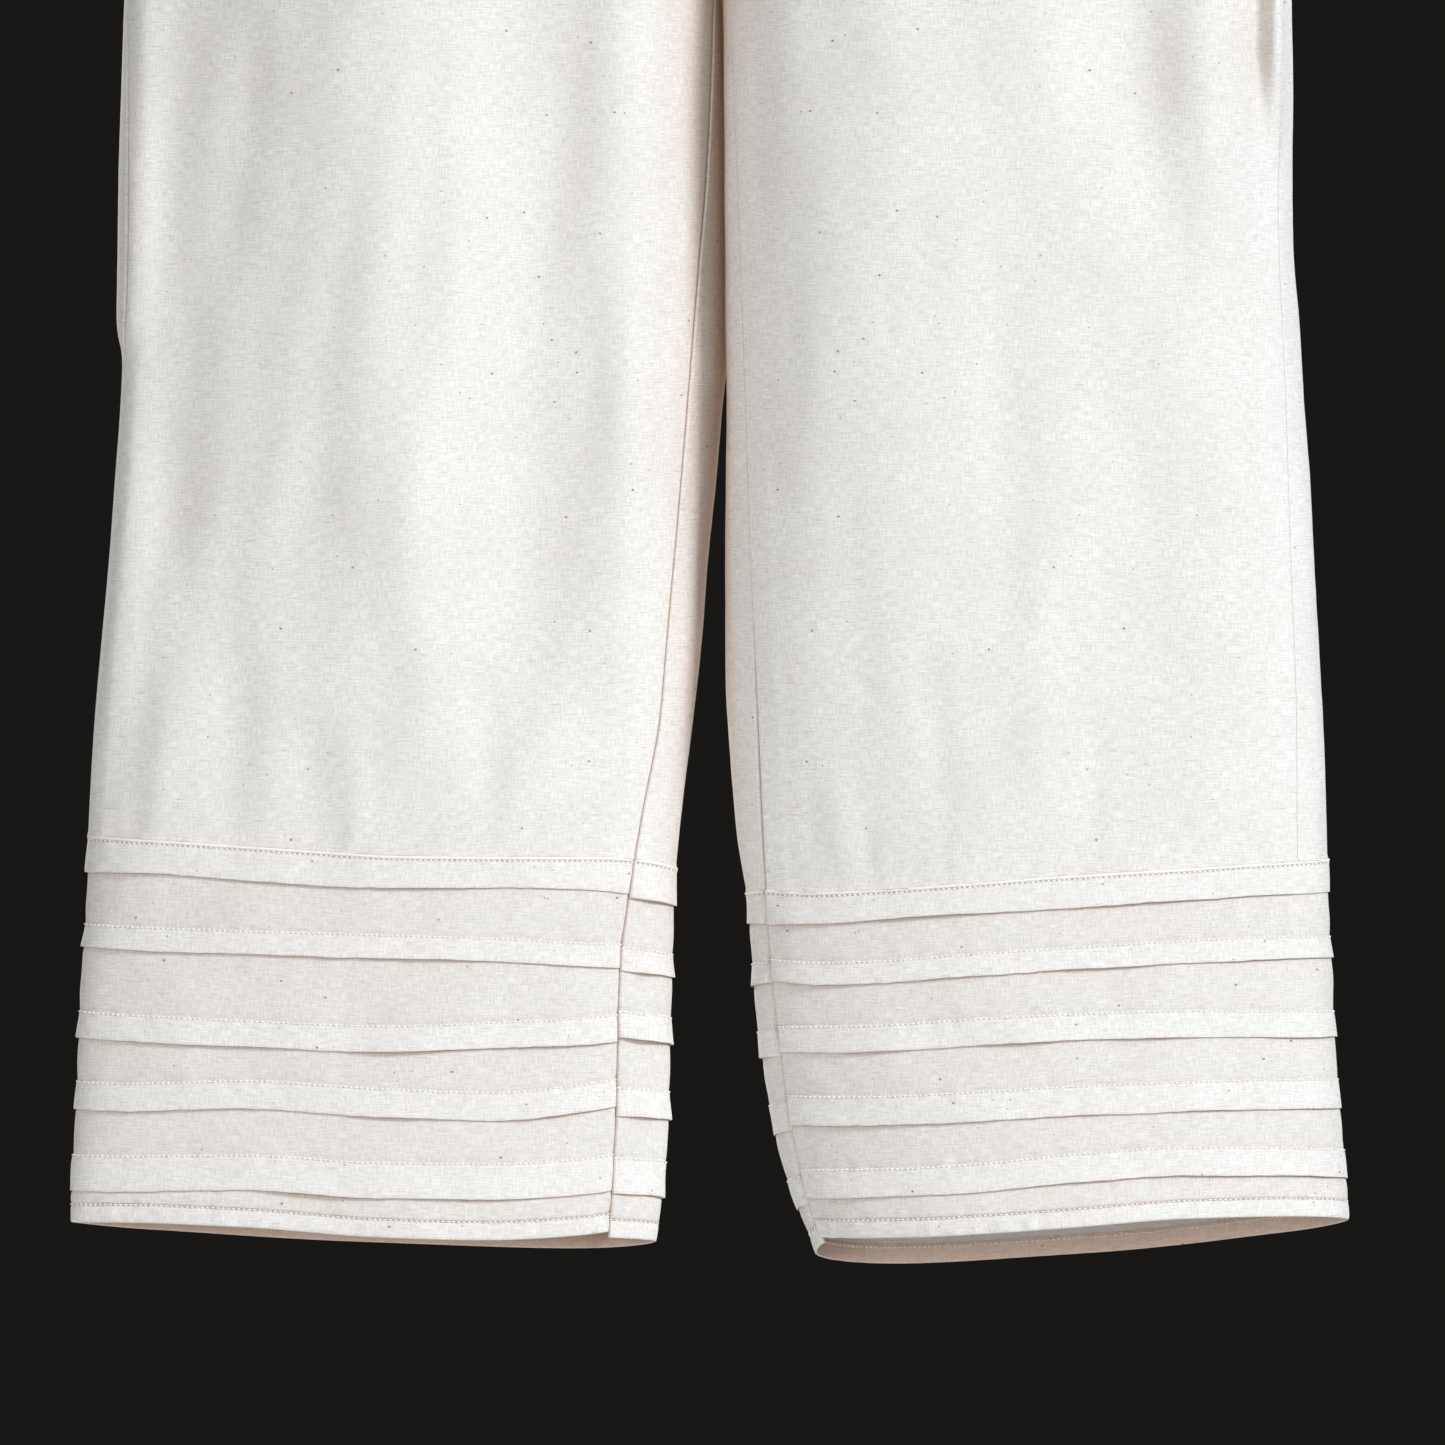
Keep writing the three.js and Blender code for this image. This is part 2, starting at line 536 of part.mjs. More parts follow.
// The heights of a panel's rows at one column, from its top edge to the cuff.
function rowHeights(leg, isFront, share) {
  const top = -BAND_HEIGHT - SEAM_GAP / 2;
  const side = sideFromInseam(leg);
  const fromInseam = isFront ? share * side : side + share * (TURN - side);
  const bottom = lineHeight(leg, "join", fromInseam) + SEAM_GAP / 2;
  return [top, ...HIP_ROWS, ...LEG_ROWS.map((part) => CROTCH_Z + (bottom - CROTCH_Z) * part)];
}

// The side seam's angle from the inseam, at the cuff.
function sideFromInseam(leg) {
  const z = lineHeight(leg, "join", Math.PI);
  return sideAngle(leg, z) - inseamAngle(leg, z);
}

// A leg panel: a plain wall of cloth between its two seams.
function panelGeometry(leg, isFront) {
  const sections = [];
  let heights = [];
  for (let column = 0; column <= PANEL_COLUMNS; column += 1) {
    const share = column / PANEL_COLUMNS;
    const outer = [];
    const inner = [];
    heights = rowHeights(leg, isFront, share);
    for (const z of heights) {
      const angle = columnAngle(leg, z, isFront, share);
      const point = surfacePoint(leg, z, angle);
      const direction = wallDirection(leg, z, angle);
      point.addScaledVector(direction, -edgeRoll(leg, z, angle, isFront));
      outer.push(point.clone().addScaledVector(direction, CLOTH_WALL / 2));
      inner.push(point.clone().addScaledVector(direction, -CLOTH_WALL / 2));
    }
    sections.push([...outer, ...inner.reverse()]);
  }
  return sweep(sections, heights.length, [heights, heights]);
}

// How far the front panel rolls inwards beside an open pocket mouth.
function edgeRoll(leg, z, angle, isFront) {
  if (!isFront || leg.gape === 0) return 0;
  const away = Math.abs(leg.sideX(z) - surfacePoint(leg, z, angle).x) - leg.gape * mouthOpen(z);
  return MOUTH_ROLL * mouthOpen(z) * (1 - smooth(away / MOUTH_ROLL_WIDTH));
}

// The outer face of a cuff from the top down, and its inner face from the bottom up, at one angle
// from the inseam: height and offset pairs.
function cuffProfile(leg, fromInseam) {
  const half = CLOTH_WALL / 2;
  const at = (name) => lineHeight(leg, name, fromInseam);
  const join = at("join") - SEAM_GAP / 2;
  const outer = [[join, half + RIDGE_HEIGHT]];
  for (let tuck = 1; tuck <= 5; tuck += 1) {
    const fold = at(`fold${tuck}`);
    if (tuck > 1) outer.push([fold + leg.tuckDepths[tuck - 1], half]);
    outer.push([fold + FLAP_ROUND, half + FLAP_HEIGHT]);
    outer.push([fold, half + FLAP_EDGE_HEIGHT]);
    outer.push([fold, half]);
  }
  const hem = at("hem");
  outer.push([hem + HEM_DEPTH, half]);
  outer.push([hem, half]);
  const inner = [
    [hem, -half - HEM_PLY],
    [hem + HEM_DEPTH, -half - HEM_PLY],
    [hem + HEM_DEPTH + HEM_STEP, -half],
  ];
  for (let tuck = 5; tuck >= 1; tuck -= 1) {
    const fold = at(`fold${tuck}`);
    inner.push([fold, -half]);
    if (tuck > 1) inner.push([(fold + at(`fold${tuck - 1}`)) / 2, -half]);
  }
  inner.push([join, -half]);
  return { outer, inner };
}

// A cuff: one strip round the leg, open at the inseam.
function cuffGeometry(leg) {
  const angles = [];
  const side = sideFromInseam(leg);
  for (let column = 0; column <= PANEL_COLUMNS; column += 1) angles.push((side * column) / PANEL_COLUMNS);
  for (let column = 1; column <= PANEL_COLUMNS; column += 1) {
    angles.push(side + ((TURN - side) * column) / PANEL_COLUMNS);
  }
  const sections = angles.map((fromInseam) => {
    const isStart = fromInseam === 0;
    const isEnd = fromInseam > TURN - TINY_ANGLE;
    const { outer, inner } = cuffProfile(leg, fromInseam);
    return [...outer, ...inner].map(([z, offset]) => {
      let angle = inseamAngle(leg, z) + fromInseam;
      if (isStart) angle = drawnBack(leg, z, angle, 1, SEAM_GAP / 2);
      if (isEnd) angle = drawnBack(leg, z, angle, -1, SEAM_GAP / 2);
      return surfacePoint(leg, z, angle).addScaledVector(wallDirection(leg, z, angle), offset);
    });
  });
  const { outer, inner } = cuffProfile(leg, 0);
  return sweep(sections, outer.length, [outer.map(([z]) => z), inner.map(([z]) => z).reverse()]);
}

// The waistband: a ring of elastic casing with small even gathers.
function waistbandGeometry() {
  const sections = [];
  const columns = BAND_GATHERS * COLUMNS_PER_GATHER;
  const halfWidth = Math.abs(LEFT_OUTLINE[0].outer);
  const halfDepth = LEFT_DEPTH[0].front;
  const bottom = -BAND_HEIGHT + SEAM_GAP / 2;
  const rows = [
    { z: 0, offset: BAND_EDGE_WALL / 2, wave: 0.5 },
    { z: -BAND_HEIGHT / 2, offset: BAND_WALL / 2, wave: 1 },
    { z: bottom, offset: BAND_EDGE_WALL / 2, wave: 0.8 },
    { z: bottom, offset: -BAND_EDGE_WALL / 2, wave: 0.8 },
    { z: -BAND_HEIGHT / 2, offset: -BAND_WALL / 2, wave: 1 },
    { z: 0, offset: -BAND_EDGE_WALL / 2, wave: 0.5 },
  ];
  for (let column = 0; column < columns; column += 1) {
    const angle = (TURN * column) / columns;
    const across = new THREE.Vector3(halfDepth * Math.cos(angle), halfWidth * Math.sin(angle), 0).normalize();
    const ripple = BAND_GATHER_DEPTH * Math.sin(BAND_GATHERS * angle);
    sections.push(rows.map(({ z, offset, wave }) => {
      const point = new THREE.Vector3(halfWidth * Math.cos(angle), halfDepth * Math.sin(angle), z);
      return point.addScaledVector(across, offset + ripple * wave);
    }));
  }
  return sweep(sections, rows.length / 2, null);
}

// A pocket bag: two plies lying together, flat behind the front panel, from the side seam inwards.
function pocketBagGeometry(leg) {
  const sections = [];
  const heights = [];
  for (let row = 0; row <= POCKET_ROWS; row += 1) {
    heights.push(BAG_TOP_Z + ((BAG_END_Z - BAG_TOP_Z) * row) / POCKET_ROWS);
  }
  for (let column = 0; column <= POCKET_COLUMNS; column += 1) {
    const outer = [];
    const inner = [];
    for (const z of heights) {
      const down = (BAG_TOP_Z - z) / (BAG_TOP_Z - BAG_END_Z);
      const rounding = Math.max((down - BAG_CURVE_START) / BAG_CURVE_REACH, 0);
      const width = BAG_WIDTH * Math.sqrt(1 - rounding ** 2);
      const start = sideAngle(leg, z) + (leg.gape > 0 ? BAG_PAST_SEAM : -BAG_SHORT_OF_SEAM);
      const end = angleAt(leg, z, leg.sideX(z) - leg.side * width);
      const angle = start + ((end - start) * column) / POCKET_COLUMNS;
      const rolled = leg.gape > 0 ? MOUTH_ROLL * mouthOpen(z) : 0;
      const point = surfacePoint(leg, z, angle);
      const direction = wallDirection(leg, z, angle);
      const fromSeam = Math.abs(leg.sideX(z) - point.x) / BAG_CLEAR_WIDTH;
      const clear = BAG_CLEAR_AT_SEAM + (BAG_CLEAR_INSIDE - BAG_CLEAR_AT_SEAM) * smooth(fromSeam);
      const sunk = CLOTH_WALL / 2 + rolled + clear;
      outer.push(point.clone().addScaledVector(direction, -sunk));
      inner.push(point.clone().addScaledVector(direction, -sunk - BAG_WALL));
    }
    sections.push([...outer, ...inner.reverse()]);
  }
  return sweep(sections, heights.length, [heights, heights]);
}

const leftLeg = makeLeg(
  -1, LEFT_OUTLINE, LEFT_DEPTH, LEFT_SEAMS, LEFT_FRONT_FOLDS, LEFT_BACK_FOLDS, LEFT_CUFF,
  LEFT_TUCK_DEPTHS, 0,
);
const rightLeg = makeLeg(
  1, RIGHT_OUTLINE, RIGHT_DEPTH, RIGHT_SEAMS, RIGHT_FRONT_FOLDS, RIGHT_BACK_FOLDS, RIGHT_CUFF,
  RIGHT_TUCK_DEPTHS, MOUTH_GAPE,
);

const trousers = new THREE.Group();

function addPiece(name, geometry) {
  const mesh = new THREE.Mesh(geometry, new THREE.MeshStandardMaterial(COTTON));
  mesh.name = name;
  trousers.add(mesh);
}

for (const [name, leg] of [["left", leftLeg], ["right", rightLeg]]) {
  addPiece(`front_${name}`, panelGeometry(leg, true));
  addPiece(`back_${name}`, panelGeometry(leg, false));
  addPiece(`cuff_${name}`, cuffGeometry(leg));
  addPiece(`pocket_bag_${name}`, pocketBagGeometry(leg));
}
addPiece("waistband", waistbandGeometry());

export default trousers;
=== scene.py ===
"""Pull-on trousers of undyed handloom cotton, hanging filled out from their elasticated waist.

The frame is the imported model's: metres, +Z up, the front faces -Y, and the origin is the middle of the
waist opening. The tables and the pieces' own sizes are in millimetres, as a pattern cutter writes them,
and a mesh is scaled to metres when it is made. A point of a leg is named by its height and by its angle
round the leg: 0 at the inner fold, 90 degrees in the middle of the front, 180 at the outer fold and 270
in the middle of the back.
"""
import math

import bpy
import numpy as np
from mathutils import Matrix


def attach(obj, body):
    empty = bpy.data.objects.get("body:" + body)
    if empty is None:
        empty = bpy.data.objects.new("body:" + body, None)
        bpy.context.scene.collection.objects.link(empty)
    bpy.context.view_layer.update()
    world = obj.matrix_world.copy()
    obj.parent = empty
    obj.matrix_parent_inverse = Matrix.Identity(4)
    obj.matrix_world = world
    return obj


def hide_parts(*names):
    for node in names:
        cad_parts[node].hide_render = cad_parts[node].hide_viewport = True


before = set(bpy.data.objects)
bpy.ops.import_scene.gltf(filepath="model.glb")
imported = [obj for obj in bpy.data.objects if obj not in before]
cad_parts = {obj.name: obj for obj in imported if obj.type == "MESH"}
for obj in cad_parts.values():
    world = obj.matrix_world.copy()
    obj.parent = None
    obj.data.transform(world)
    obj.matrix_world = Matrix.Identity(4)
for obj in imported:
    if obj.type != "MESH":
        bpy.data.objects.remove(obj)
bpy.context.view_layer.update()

MM = 0.001
TURN = 2 * math.pi
DEGREE = math.pi / 180

# The camera looks straight at the front, and its view is as wide as the photograph's at the legs.
VIEW_WIDTH = 688.1
VIEW_CENTRE_X = 3.1
VIEW_CENTRE_Z = -658
CAMERA_DISTANCE = 8000

# The main lamps are a little cooler than the cloth, and the weak ones warmer.
DAYLIGHT = (0.955, 0.985, 1.0)
LAMPLIGHT = (1.0, 0.985, 0.965)

# Colours of the cloth and its thread, with painted shade and a painted highlight among them. A tint
# multiplies the colour under it.
UNDYED_DARK = (0.865, 0.855, 0.843)
UNDYED_LIGHT = (0.91, 0.908, 0.905)
STREAK = (0.74, 0.725, 0.70)
BETWEEN_THREADS = (0.63, 0.615, 0.595)
SLUB = (0.47, 0.42, 0.36)
# A single ply is tinted darker than two: partly the thin cloth over the hollow leg, partly painted shade on
# the cuff cloth under the tuck flaps.
SINGLE_PLY_AND_SHADE_TINT = (0.95, 0.935, 0.925)
PAINTED_CREST_HIGHLIGHT = (0.96, 0.955, 0.945)
# Painted shade: the inside faces are tinted warm and darker, standing in for the shade and the light
# bounced inside the garment.
PAINTED_INSIDE_SHADE = (1.0, 0.81, 0.7)
# Painted shade: a warm brown tint in the cloth's hollows, creases and gaps, reaching this many mm.
PAINTED_HOLLOW_SHADE = (0.57, 0.35, 0.2)
PAINTED_SHADE_REACH = 48
SEED_FLECK = (0.13, 0.08, 0.05)
# Each kind of fleck: the size of its cells in mm, its radius in cells, and the share of cells left bare.
FLECKS = ((13, 0.055, 0.15), (6.5, 0.065, 0.55))
THREAD_DARK = (0.94, 0.93, 0.92)
THREAD_LIGHT = (0.99, 0.985, 0.975)
FLOOR_COLOUR = (0.62, 0.61, 0.59)
WORLD_COLOUR = (0.0095, 0.0088, 0.008)

# The floor, in metres.
FLOOR_RADIUS = 1.6
FLOOR_Z = -1.45

# Heights on the garment, as in the part.
BAND_HEIGHT = 38
CROTCH_Z = -260
FRONT_RISE = 170
BACK_RISE = 215
RISE_EASE = 1.5
SEAM_TABLE_TOP = -314
INSEAM_TURN = 60
SIDE_SEAM_TURN = 240
WAIST_ROUNDNESS = 2
LEG_ROUNDNESS = 3
ROUNDNESS_REACH = 200
PANEL_GATHERS = 5
GATHER_DEPTH = 6.5
GATHER_PEAK_Z = -64
GATHER_END_Z = -225
GATHER_AT_BAND = 0.16
MOUTH_TOP_Z = -232
MOUTH_END_Z = -402
MOUTH_LAP = 0.035
MOUTH_STAND = 14
MOUTH_STAND_WIDTH = 11
MOUTH_TOP_EASE = 30
MOUTH_END_EASE = 70

# The cloth, its seams and its stitching.
CLOTH = 0.6
SEAM_HALF_GAP = 0.035
SEAM_TURN_IN = 0.9
SEAM_TURN_WIDTH = 1.0
SEAM_HOLD_WIDTH = 10
JOIN_HALF_GAP = 0.02
JOIN_RISE = 0.5
JOIN_RISE_WIDTH = 2.6
JOIN_PUCKER_WIDTH = 34
JOIN_CALM_WIDTH = 60
JOIN_CALM_SHARE = 0.2
FLAT_INSEAM_SHARE = 0.1
RIGHT_SIDE_TURN_SHARE = 0.12
FLAT_INSEAM_END_Z = -575
FLAT_INSEAM_FADE = 100
LEG_PLIES = 0.6
ALLOWANCE_WIDTH = 13
ALLOWANCE_HEIGHT = 0.35
ALLOWANCE_EDGE = 1.6
MOUTH_DENT_WIDTH = 9
STITCH_PITCH = 2.5
STITCH_LENGTH = 1.9
THREAD_WIDTH = 0.78
HALF_STITCH_SHARES = (0.42, 0.54)

# Values of the plies attribute beside 0 for one ply and 1 for two: the crest of a pressed ridge, which the
# material lightens as a painted highlight, and a piece's inside, which it tints as painted shade.
LIT_CREST = 2
INSIDE = -1

# The cuffs' own sections, in mm: how far each point lies below the seam or the stitching, and how far
# it stands off the cloth.
RIDGE_PROFILE = (
    (0, -0.8), (0, 0.3), (-0.3, 0.45), (-0.28, 0.75), (0, 0.95), (0.4, 1), (0.95, 0.9), (1.3, 0.65),
    (1.5, 0.15), (1.75, 0.15), (1.95, 0.52), (2.5, 0.62), (3.4, 0.72),
)
# The ridge's crest, between these drops and above this stand, is lightened as a painted highlight.
RIDGE_CREST_DROPS = (-0.4, 0.5)
RIDGE_CREST_STAND = 0.5
RIDGE_STITCH = 1.65
RIDGE_STITCH_STAND = 0.5
TUCK_START_PROFILE = (
    (0, -0.1), (0.2, 0.15), (0.45, 0.22), (0.6, 0.2), (0.75, 0.2), (0.95, 0.3), (1.6, 0.42), (2.4, 0.5),
)
TUCK_STITCH = 0.68
TUCK_STITCH_STAND = 0.42
HEM_PROFILE = (
    (-0.25, 0), (0, -0.3), (0.2, -0.3), (0.5, 0.2), (1.2, 0.38), (2.6, 0.5), (4.8, 0.54), (7, 0.5),
    (8.3, 0.38), (8.8, 0), (8.6, -0.6), (8, -0.95), (5, -1.05), (2.2, -1), (1.1, -0.85), (0.3, -0.95),
    (-0.4, -0.75), (-0.8, -0.4),
)
HEM_OUTSIDE_FROM = -0.5
HEM_STITCH = 0.1
HEM_STITCH_STAND = 0.08
HEM_INSIDE_STITCH = 1.1
HEM_INSIDE_STITCH_STAND = 0.75
INSIDE_ABOVE_HEM = 1.2
INSIDE_ROWS = 34

# The flaps of the tucks, the slots behind them and the plain cloth below them. The left cuff's free flaps
# stand out beside its seam like beaks.
FLAP_START = 0.5
FLAP_TOP = 0.85
FLAP_PLIES = 0.75
FLAP_LIFT = 1.3
FLAP_LEAST_LIFT = 0.1
FLAP_LIFT_CURVE = 1.6
FLAP_SWELL = 0.12
FLAP_ROWS = 8
FOLD_TURNS = (50, 90, 130)
FLAP_CAUGHT_WIDTH = 4
FLAP_CAUGHT_SHARE = 0.75
SLOT_DEPTH = 8
SLOT_SHORT_OF_START = 1.5
SLOT_STAND = 0.16
SLOT_ROWS = 4
HIDDEN_ROWS = 3
BASE_ROWS = 9
BASE_SWELL = 0.3
BASE_SWELL_CURVE = 0.8
BASE_PAST_TUCK = 0.5
BASE_PAST_HEM = 0.6
BEAK_LIFT = 1.5
BEAK_PLACE = 14
BEAK_WIDTH = 7
TUCKS = 5

# The ends of a cuff at its seam, and its puckers beside the stitches.
CUFF_MIDDLE_Z = -810
SEAM_PINCH = 0.7
BACK_END_TURN_IN = 1.1
BACK_END_TURN_WIDTH = 3
BACK_END_PINCH = 1.5
FRONT_END_TURN_IN = 0.15
CUFF_END_HOLD_WIDTH = 12
PUCKER_REACH = 5
PINCH_LENGTH = 4
PINCH_HEIGHT = 3

# The waistband.
BAND_COLUMNS = 720
BAND_OUTER_ROWS = 40
BAND_INNER_ROWS = 24
BAND_TOP_INSET = 0.4
BAND_LOW_INSET = 0.3
BAND_GATHERS = 40
BAND_GATHER_DEPTH = 1.1
BAND_RUFFLES = 118
BAND_RUFFLE_DEPTH = 0.62
BAND_DRIFTS = ((2.2, 3, 0.7), (1.7, 7, 2))
BAND_UNEVENNESS = 0.3
BAND_EDGE_WIDTH = 1.5
BAND_HELD_SHARE = 0.45
BAND_EDGE_WAVE = 0.3
BAND_FULLNESS = 1.12
BAND_OVERLAP = 1.6
BAND_HALF_THICKNESS = 0.45
BAND_END_SWELL = 0.55
BAND_FREE_SWELL = 0.75
BAND_LOW_SWELL = 0.9
BAND_LOW_FROM = 4
BAND_LOW_REACH = 3
BAND_FREE_REACH = 4.2
BAND_END_REACH = 1.6
BAND_STITCH_ROWS = (-6, -15, -24, -33)
BAND_STITCH_STAND = 1.0

# The pocket bags.
BAG_TOP_Z = -218
BAG_END_Z = -452
BAG_WIDTH = 145
BAG_THICKNESS = 1.6
BAG_PAST_SEAM = 0.08
BAG_SHORT_OF_SEAM = 0.04
BAG_ROUNDED_FROM = 0.6
BAG_ROUNDED_REACH = 0.42
BAG_CLEARANCE = 0.8
BAG_CLEARANCE_WIDTH = 30
BAG_EDGE_SHARE = 0.35
BAG_EDGE_ACROSS = 120
BAG_EDGE_DOWN = 200
BAG_EDGE_WIDTH = 8
BAG_CALM_WIDTH = 20
BAG_ROWS = 60
BAG_COLUMNS = 36

# How finely the cloth is cut into faces.
PANEL_COLUMNS = 104
PANEL_ROWS = 216
CUFF_STEP = 2.3
STEP_ROUND = 0.04
STEP_DOWN = 1
TINY_ANGLE = 1e-4
CENTRE_ANGLE = 0.1
PANEL_LEVELS = 90
PANEL_SPARE = 2
JOIN_SAMPLES = 60
POINTS_ROUND = 500
EDGE_STEPS = np.array([0.35, 0.75, 1.2, 1.8, 2.7, 4])
LOW_EDGE_STEPS = np.array([0, 0.35, 0.8, 1.4, 2.4])
LOW_EDGE_START = 4.5


def table(columns, *rows):
    """Rows of numbers under their columns' names."""
    return [dict(zip(columns.split(), row)) for row in rows]


# The studio's lamps, with places, aim and size in metres and power in watts.
LAMPS = table(
    "name place aim_z size power colour",
    ("key", (4.0, -2.9, 1.7), -0.45, 1.3, 252, DAYLIGHT),
    ("fill", (-1.9, -3.7, -0.1), -0.6, 2.0, 70, LAMPLIGHT),
    ("low", (0.4, -3.2, -1.25), -0.8, 1.0, 19, LAMPLIGHT),
    ("back_left", (-2.2, 3.2, 1.3), -0.5, 1.4, 110, DAYLIGHT),
    ("back_right", (2.4, 3.0, 0.0), -0.6, 2.0, 44, LAMPLIGHT),
)

# The cloth's unevenness: how high each kind of swell is, and how wide and how long its swells are, in mm.
# Its seed is the row's and the piece's own together.
SWELLS = table(
    "kind height across along seed",
    ("streak", 0.5, 46, 260, 0),
    ("crumple", 0.12, 34, 90, 1),
    ("crinkle", 0.04, 13, 19, 2),
    ("pucker", 0.22, 11, 90, 3),
    ("mouth_dent", 1.3, 30, 26, 4),
    ("fold_wave", 0.25, 70, 1, 300),
    ("fold_ripple", 0.1, 13, 1, 320),
    ("flap_lift", 1, 85, 1, 310),
    ("stitch_pucker", 0.16, 8.5, 40, 400),
    ("cuff_swell", 0.35, 60, 90, 401),
    ("cuff_crumple", 0.12, 24, 20, 402),
    ("hem_wrinkle", 0.2, 8, 18, 403),
    ("bag_wave", 0.35, 40, 60, 71),
)
SWELL_WAVES = 14
SWELL_SIZES = (0.6, 1.6)
PANEL_SEEDS = {"front": 11, "back": 37}
RIGHT_PANEL_SEED = 100
RIGHT_CUFF_SEED = 50
STITCH_SEED = 7

# Each leg's outline: x of the outer and inner folds, and y of both folds.
LEFT_OUTLINE = table(
    "z outer inner inner_y outer_y",
    (-38, -152, 0, 0, 0),
    (-72, -179, 0, 0, 0),
    (-110, -207, 0, 0, 0),
    (-150, -231, 0, 0, 0),
    (-200, -254, 0, 3, 0),
    (-240, -267, 0, 5, 0),
    (-254, -270.5, -0.95, 6, 0),
    (-262, -272.3, -1, 6.5, 0),
    (-290, -278, -0.8, 10, 0),
    (-314, -281.4, 3, 13.5, 0),
    (-350, -282.6, 5.2, 17, 0),
    (-400, -284, 5.5, 18, 0),
    (-466, -284.8, 5.2, 17, 0),
    (-486, -282, 4.8, 16, 0),
    (-505, -282.8, 2.9, 15, 0),
    (-543, -285.6, -0.5, 13, 0),
    (-581, -288.4, -4.3, 11, 0),
    (-619, -291.9, -7.1, 9, 0),
    (-657, -295.2, -11, 7, 0),
    (-695, -297.6, -15.7, 5, 0),
    (-740, -299.6, -20, 3, 0),
    (-790, -302.4, -22, 2, 0),
    (-845, -304.6, -22.8, 2, 0),
    (-880, -306.6, -25.8, 2, 0),
    (-925, -308, -31, 2, 0),
)
RIGHT_OUTLINE = table(
    "z outer inner inner_y outer_y",
    (-38, 152, 0, 0, 0),
    (-72, 178, 0, 0, 0),
    (-110, 205, 0, 0, 0),
    (-150, 228, 0, 0, 0),
    (-200, 249, 0, 3, 0),
    (-240, 261, 0, 5, 0),
    (-254, 264.5, 0.95, 5.5, 0),
    (-262, 266.3, 1, 5.5, 0),
    (-290, 271.5, 2.4, 3.8, 0),
    (-314, 273.8, 4, 1.8, 0),
    (-350, 273.8, 4.8, -0.6, 0),
    (-400, 273.4, 5.2, -2, 0),
    (-428, 273.8, 5.2, -2, 0),
    (-466, 276.7, 5.2, -2, 0),
    (-505, 279.5, 5.2, -2, 0),
    (-543, 282.4, 4.9, -2, 0),
    (-581, 284.4, 4.6, -2, 0),
    (-638, 287.9, 4.8, -2, 0),
    (-676, 289.6, 7.1, -1, 0),
    (-714, 290.5, 10.5, 0, 0),
    (-746, 291.2, 16.2, 1, 0),
    (-785, 293, 18.6, 2, 0),
    (-815, 295, 21.8, 3, 0),
    (-845, 297, 26.7, 4, 0),
    (-876, 300, 34.3, 5, 0),
    (-891, 301, 40, 5, 0),
    (-910, 301, 47, 6, 0),
    (-925, 301, 52, 6, 0),
)

# How far the front and the back stand off the folds, at each height.
LEFT_DEPTH = table(
    "z front back",
    (-38, 72, 72),
    (-72, 75, 76),
    (-110, 76, 79),
    (-150, 74, 78),
    (-200, 68, 74),
    (-260, 60, 65),
    (-314, 54, 57),
    (-400, 48, 50),
    (-500, 43, 44),
    (-600, 38, 39),
    (-700, 33, 34),
    (-800, 29, 30),
    (-925, 25, 26),
)
RIGHT_DEPTH = table(
    "z front back",
    (-38, 72, 72),
    (-72, 75, 76),
    (-110, 76, 79),
    (-150, 74, 78),
    (-200, 68, 74),
    (-260, 60, 65),
    (-314, 54, 57),
    (-400, 48, 50),
    (-500, 44, 45),
    (-600, 41, 42),
    (-700, 39, 41),
    (-800, 41, 45),
    (-925, 46, 53),
)

# Where the inseam and the side seam run, both on the front: x of each.
LEFT_SEAMS = table(
    "z inseam side",
    (-314, -1.4, -279.8),
    (-350, -2.4, -279.4),
    (-400, -4.8, -279.4),
    (-440, -8.2, -279.8),
    (-475, -11, -281),
    (-543, -16.6, -285.4),
    (-619, -23.4, -291.7),
    (-657, -26.8, -295),
    (-702, -35.2, -298),
    (-740, -41.4, -299.4),
    (-774, -45.7, -301),
    (-845, -47.6, -304.4),
    (-925, -52.5, -307.8),
)
RIGHT_SEAMS = table(
    "z inseam side",
    (-314, 7, 267.1),
    (-412, 11, 267.1),
    (-505, 14.2, 270.6),
    (-581, 16.8, 273),
    (-658, 20, 275.7),
    (-704, 21.9, 276),
    (-754, 25, 277),
    (-784, 27.5, 279),
    (-816, 31.2, 281),
    (-847, 35.6, 283),
    (-883, 43.4, 287),
    (-925, 58, 287),
)

# Soft ridges (out above zero) and troughs (out below zero). Each runs from its top to its bottom, fades
# over its fade length at both ends, and drifts sideways from x to to_x. The first rows of each table are
# large folds, near the part's own, and the rows after them are the cloth's smaller creases. The cloth takes
# all of them a little deeper than the part's stiffer walls do.
FOLD_COLUMNS = "top bottom x to_x width out fade"
FOLD_DEEPENING = 1.7
LEFT_FRONT_FOLDS = table(
    FOLD_COLUMNS,
    (-150, -640, -246, -264, 26, -4, 110),
    (-120, -660, -172, -150, 38, 4, 120),
    (-130, -700, -79, -92, 32, -6, 120),
    (-180, -700, -41, -44, 22, 3, 100),
    (-600, -740, -229, -229, 15, -1.6, 50),
    (-640, -740, -196, -190, 14, -1.4, 40),
    (-150, -700, -269, -288, 13, 3.6, 90),
    (-300, -470, -214, -232, 11, -1.1, 60),
    (-330, -520, -126, -118, 13, 0.9, 70),
    (-420, -640, -60, -52, 12, -0.9, 80),
    (-480, -700, -150, -136, 13, 1, 80),
    (-560, -735, -262, -266, 9, 0.9, 50),
    (-610, -735, -112, -104, 9, -0.8, 50),
    (-655, -735, -172, -168, 6, 0.5, 30),
    (-660, -735, -84, -86, 7, -0.5, 30),
)
LEFT_BACK_FOLDS = table(
    FOLD_COLUMNS,
    (-140, -560, -214, -236, 30, -4, 120),
    (-120, -690, -150, -164, 34, 3.5, 130),
    (-160, -620, -96, -76, 30, -4.5, 110),
    (-420, -730, -118, -126, 22, -2, 90),
)
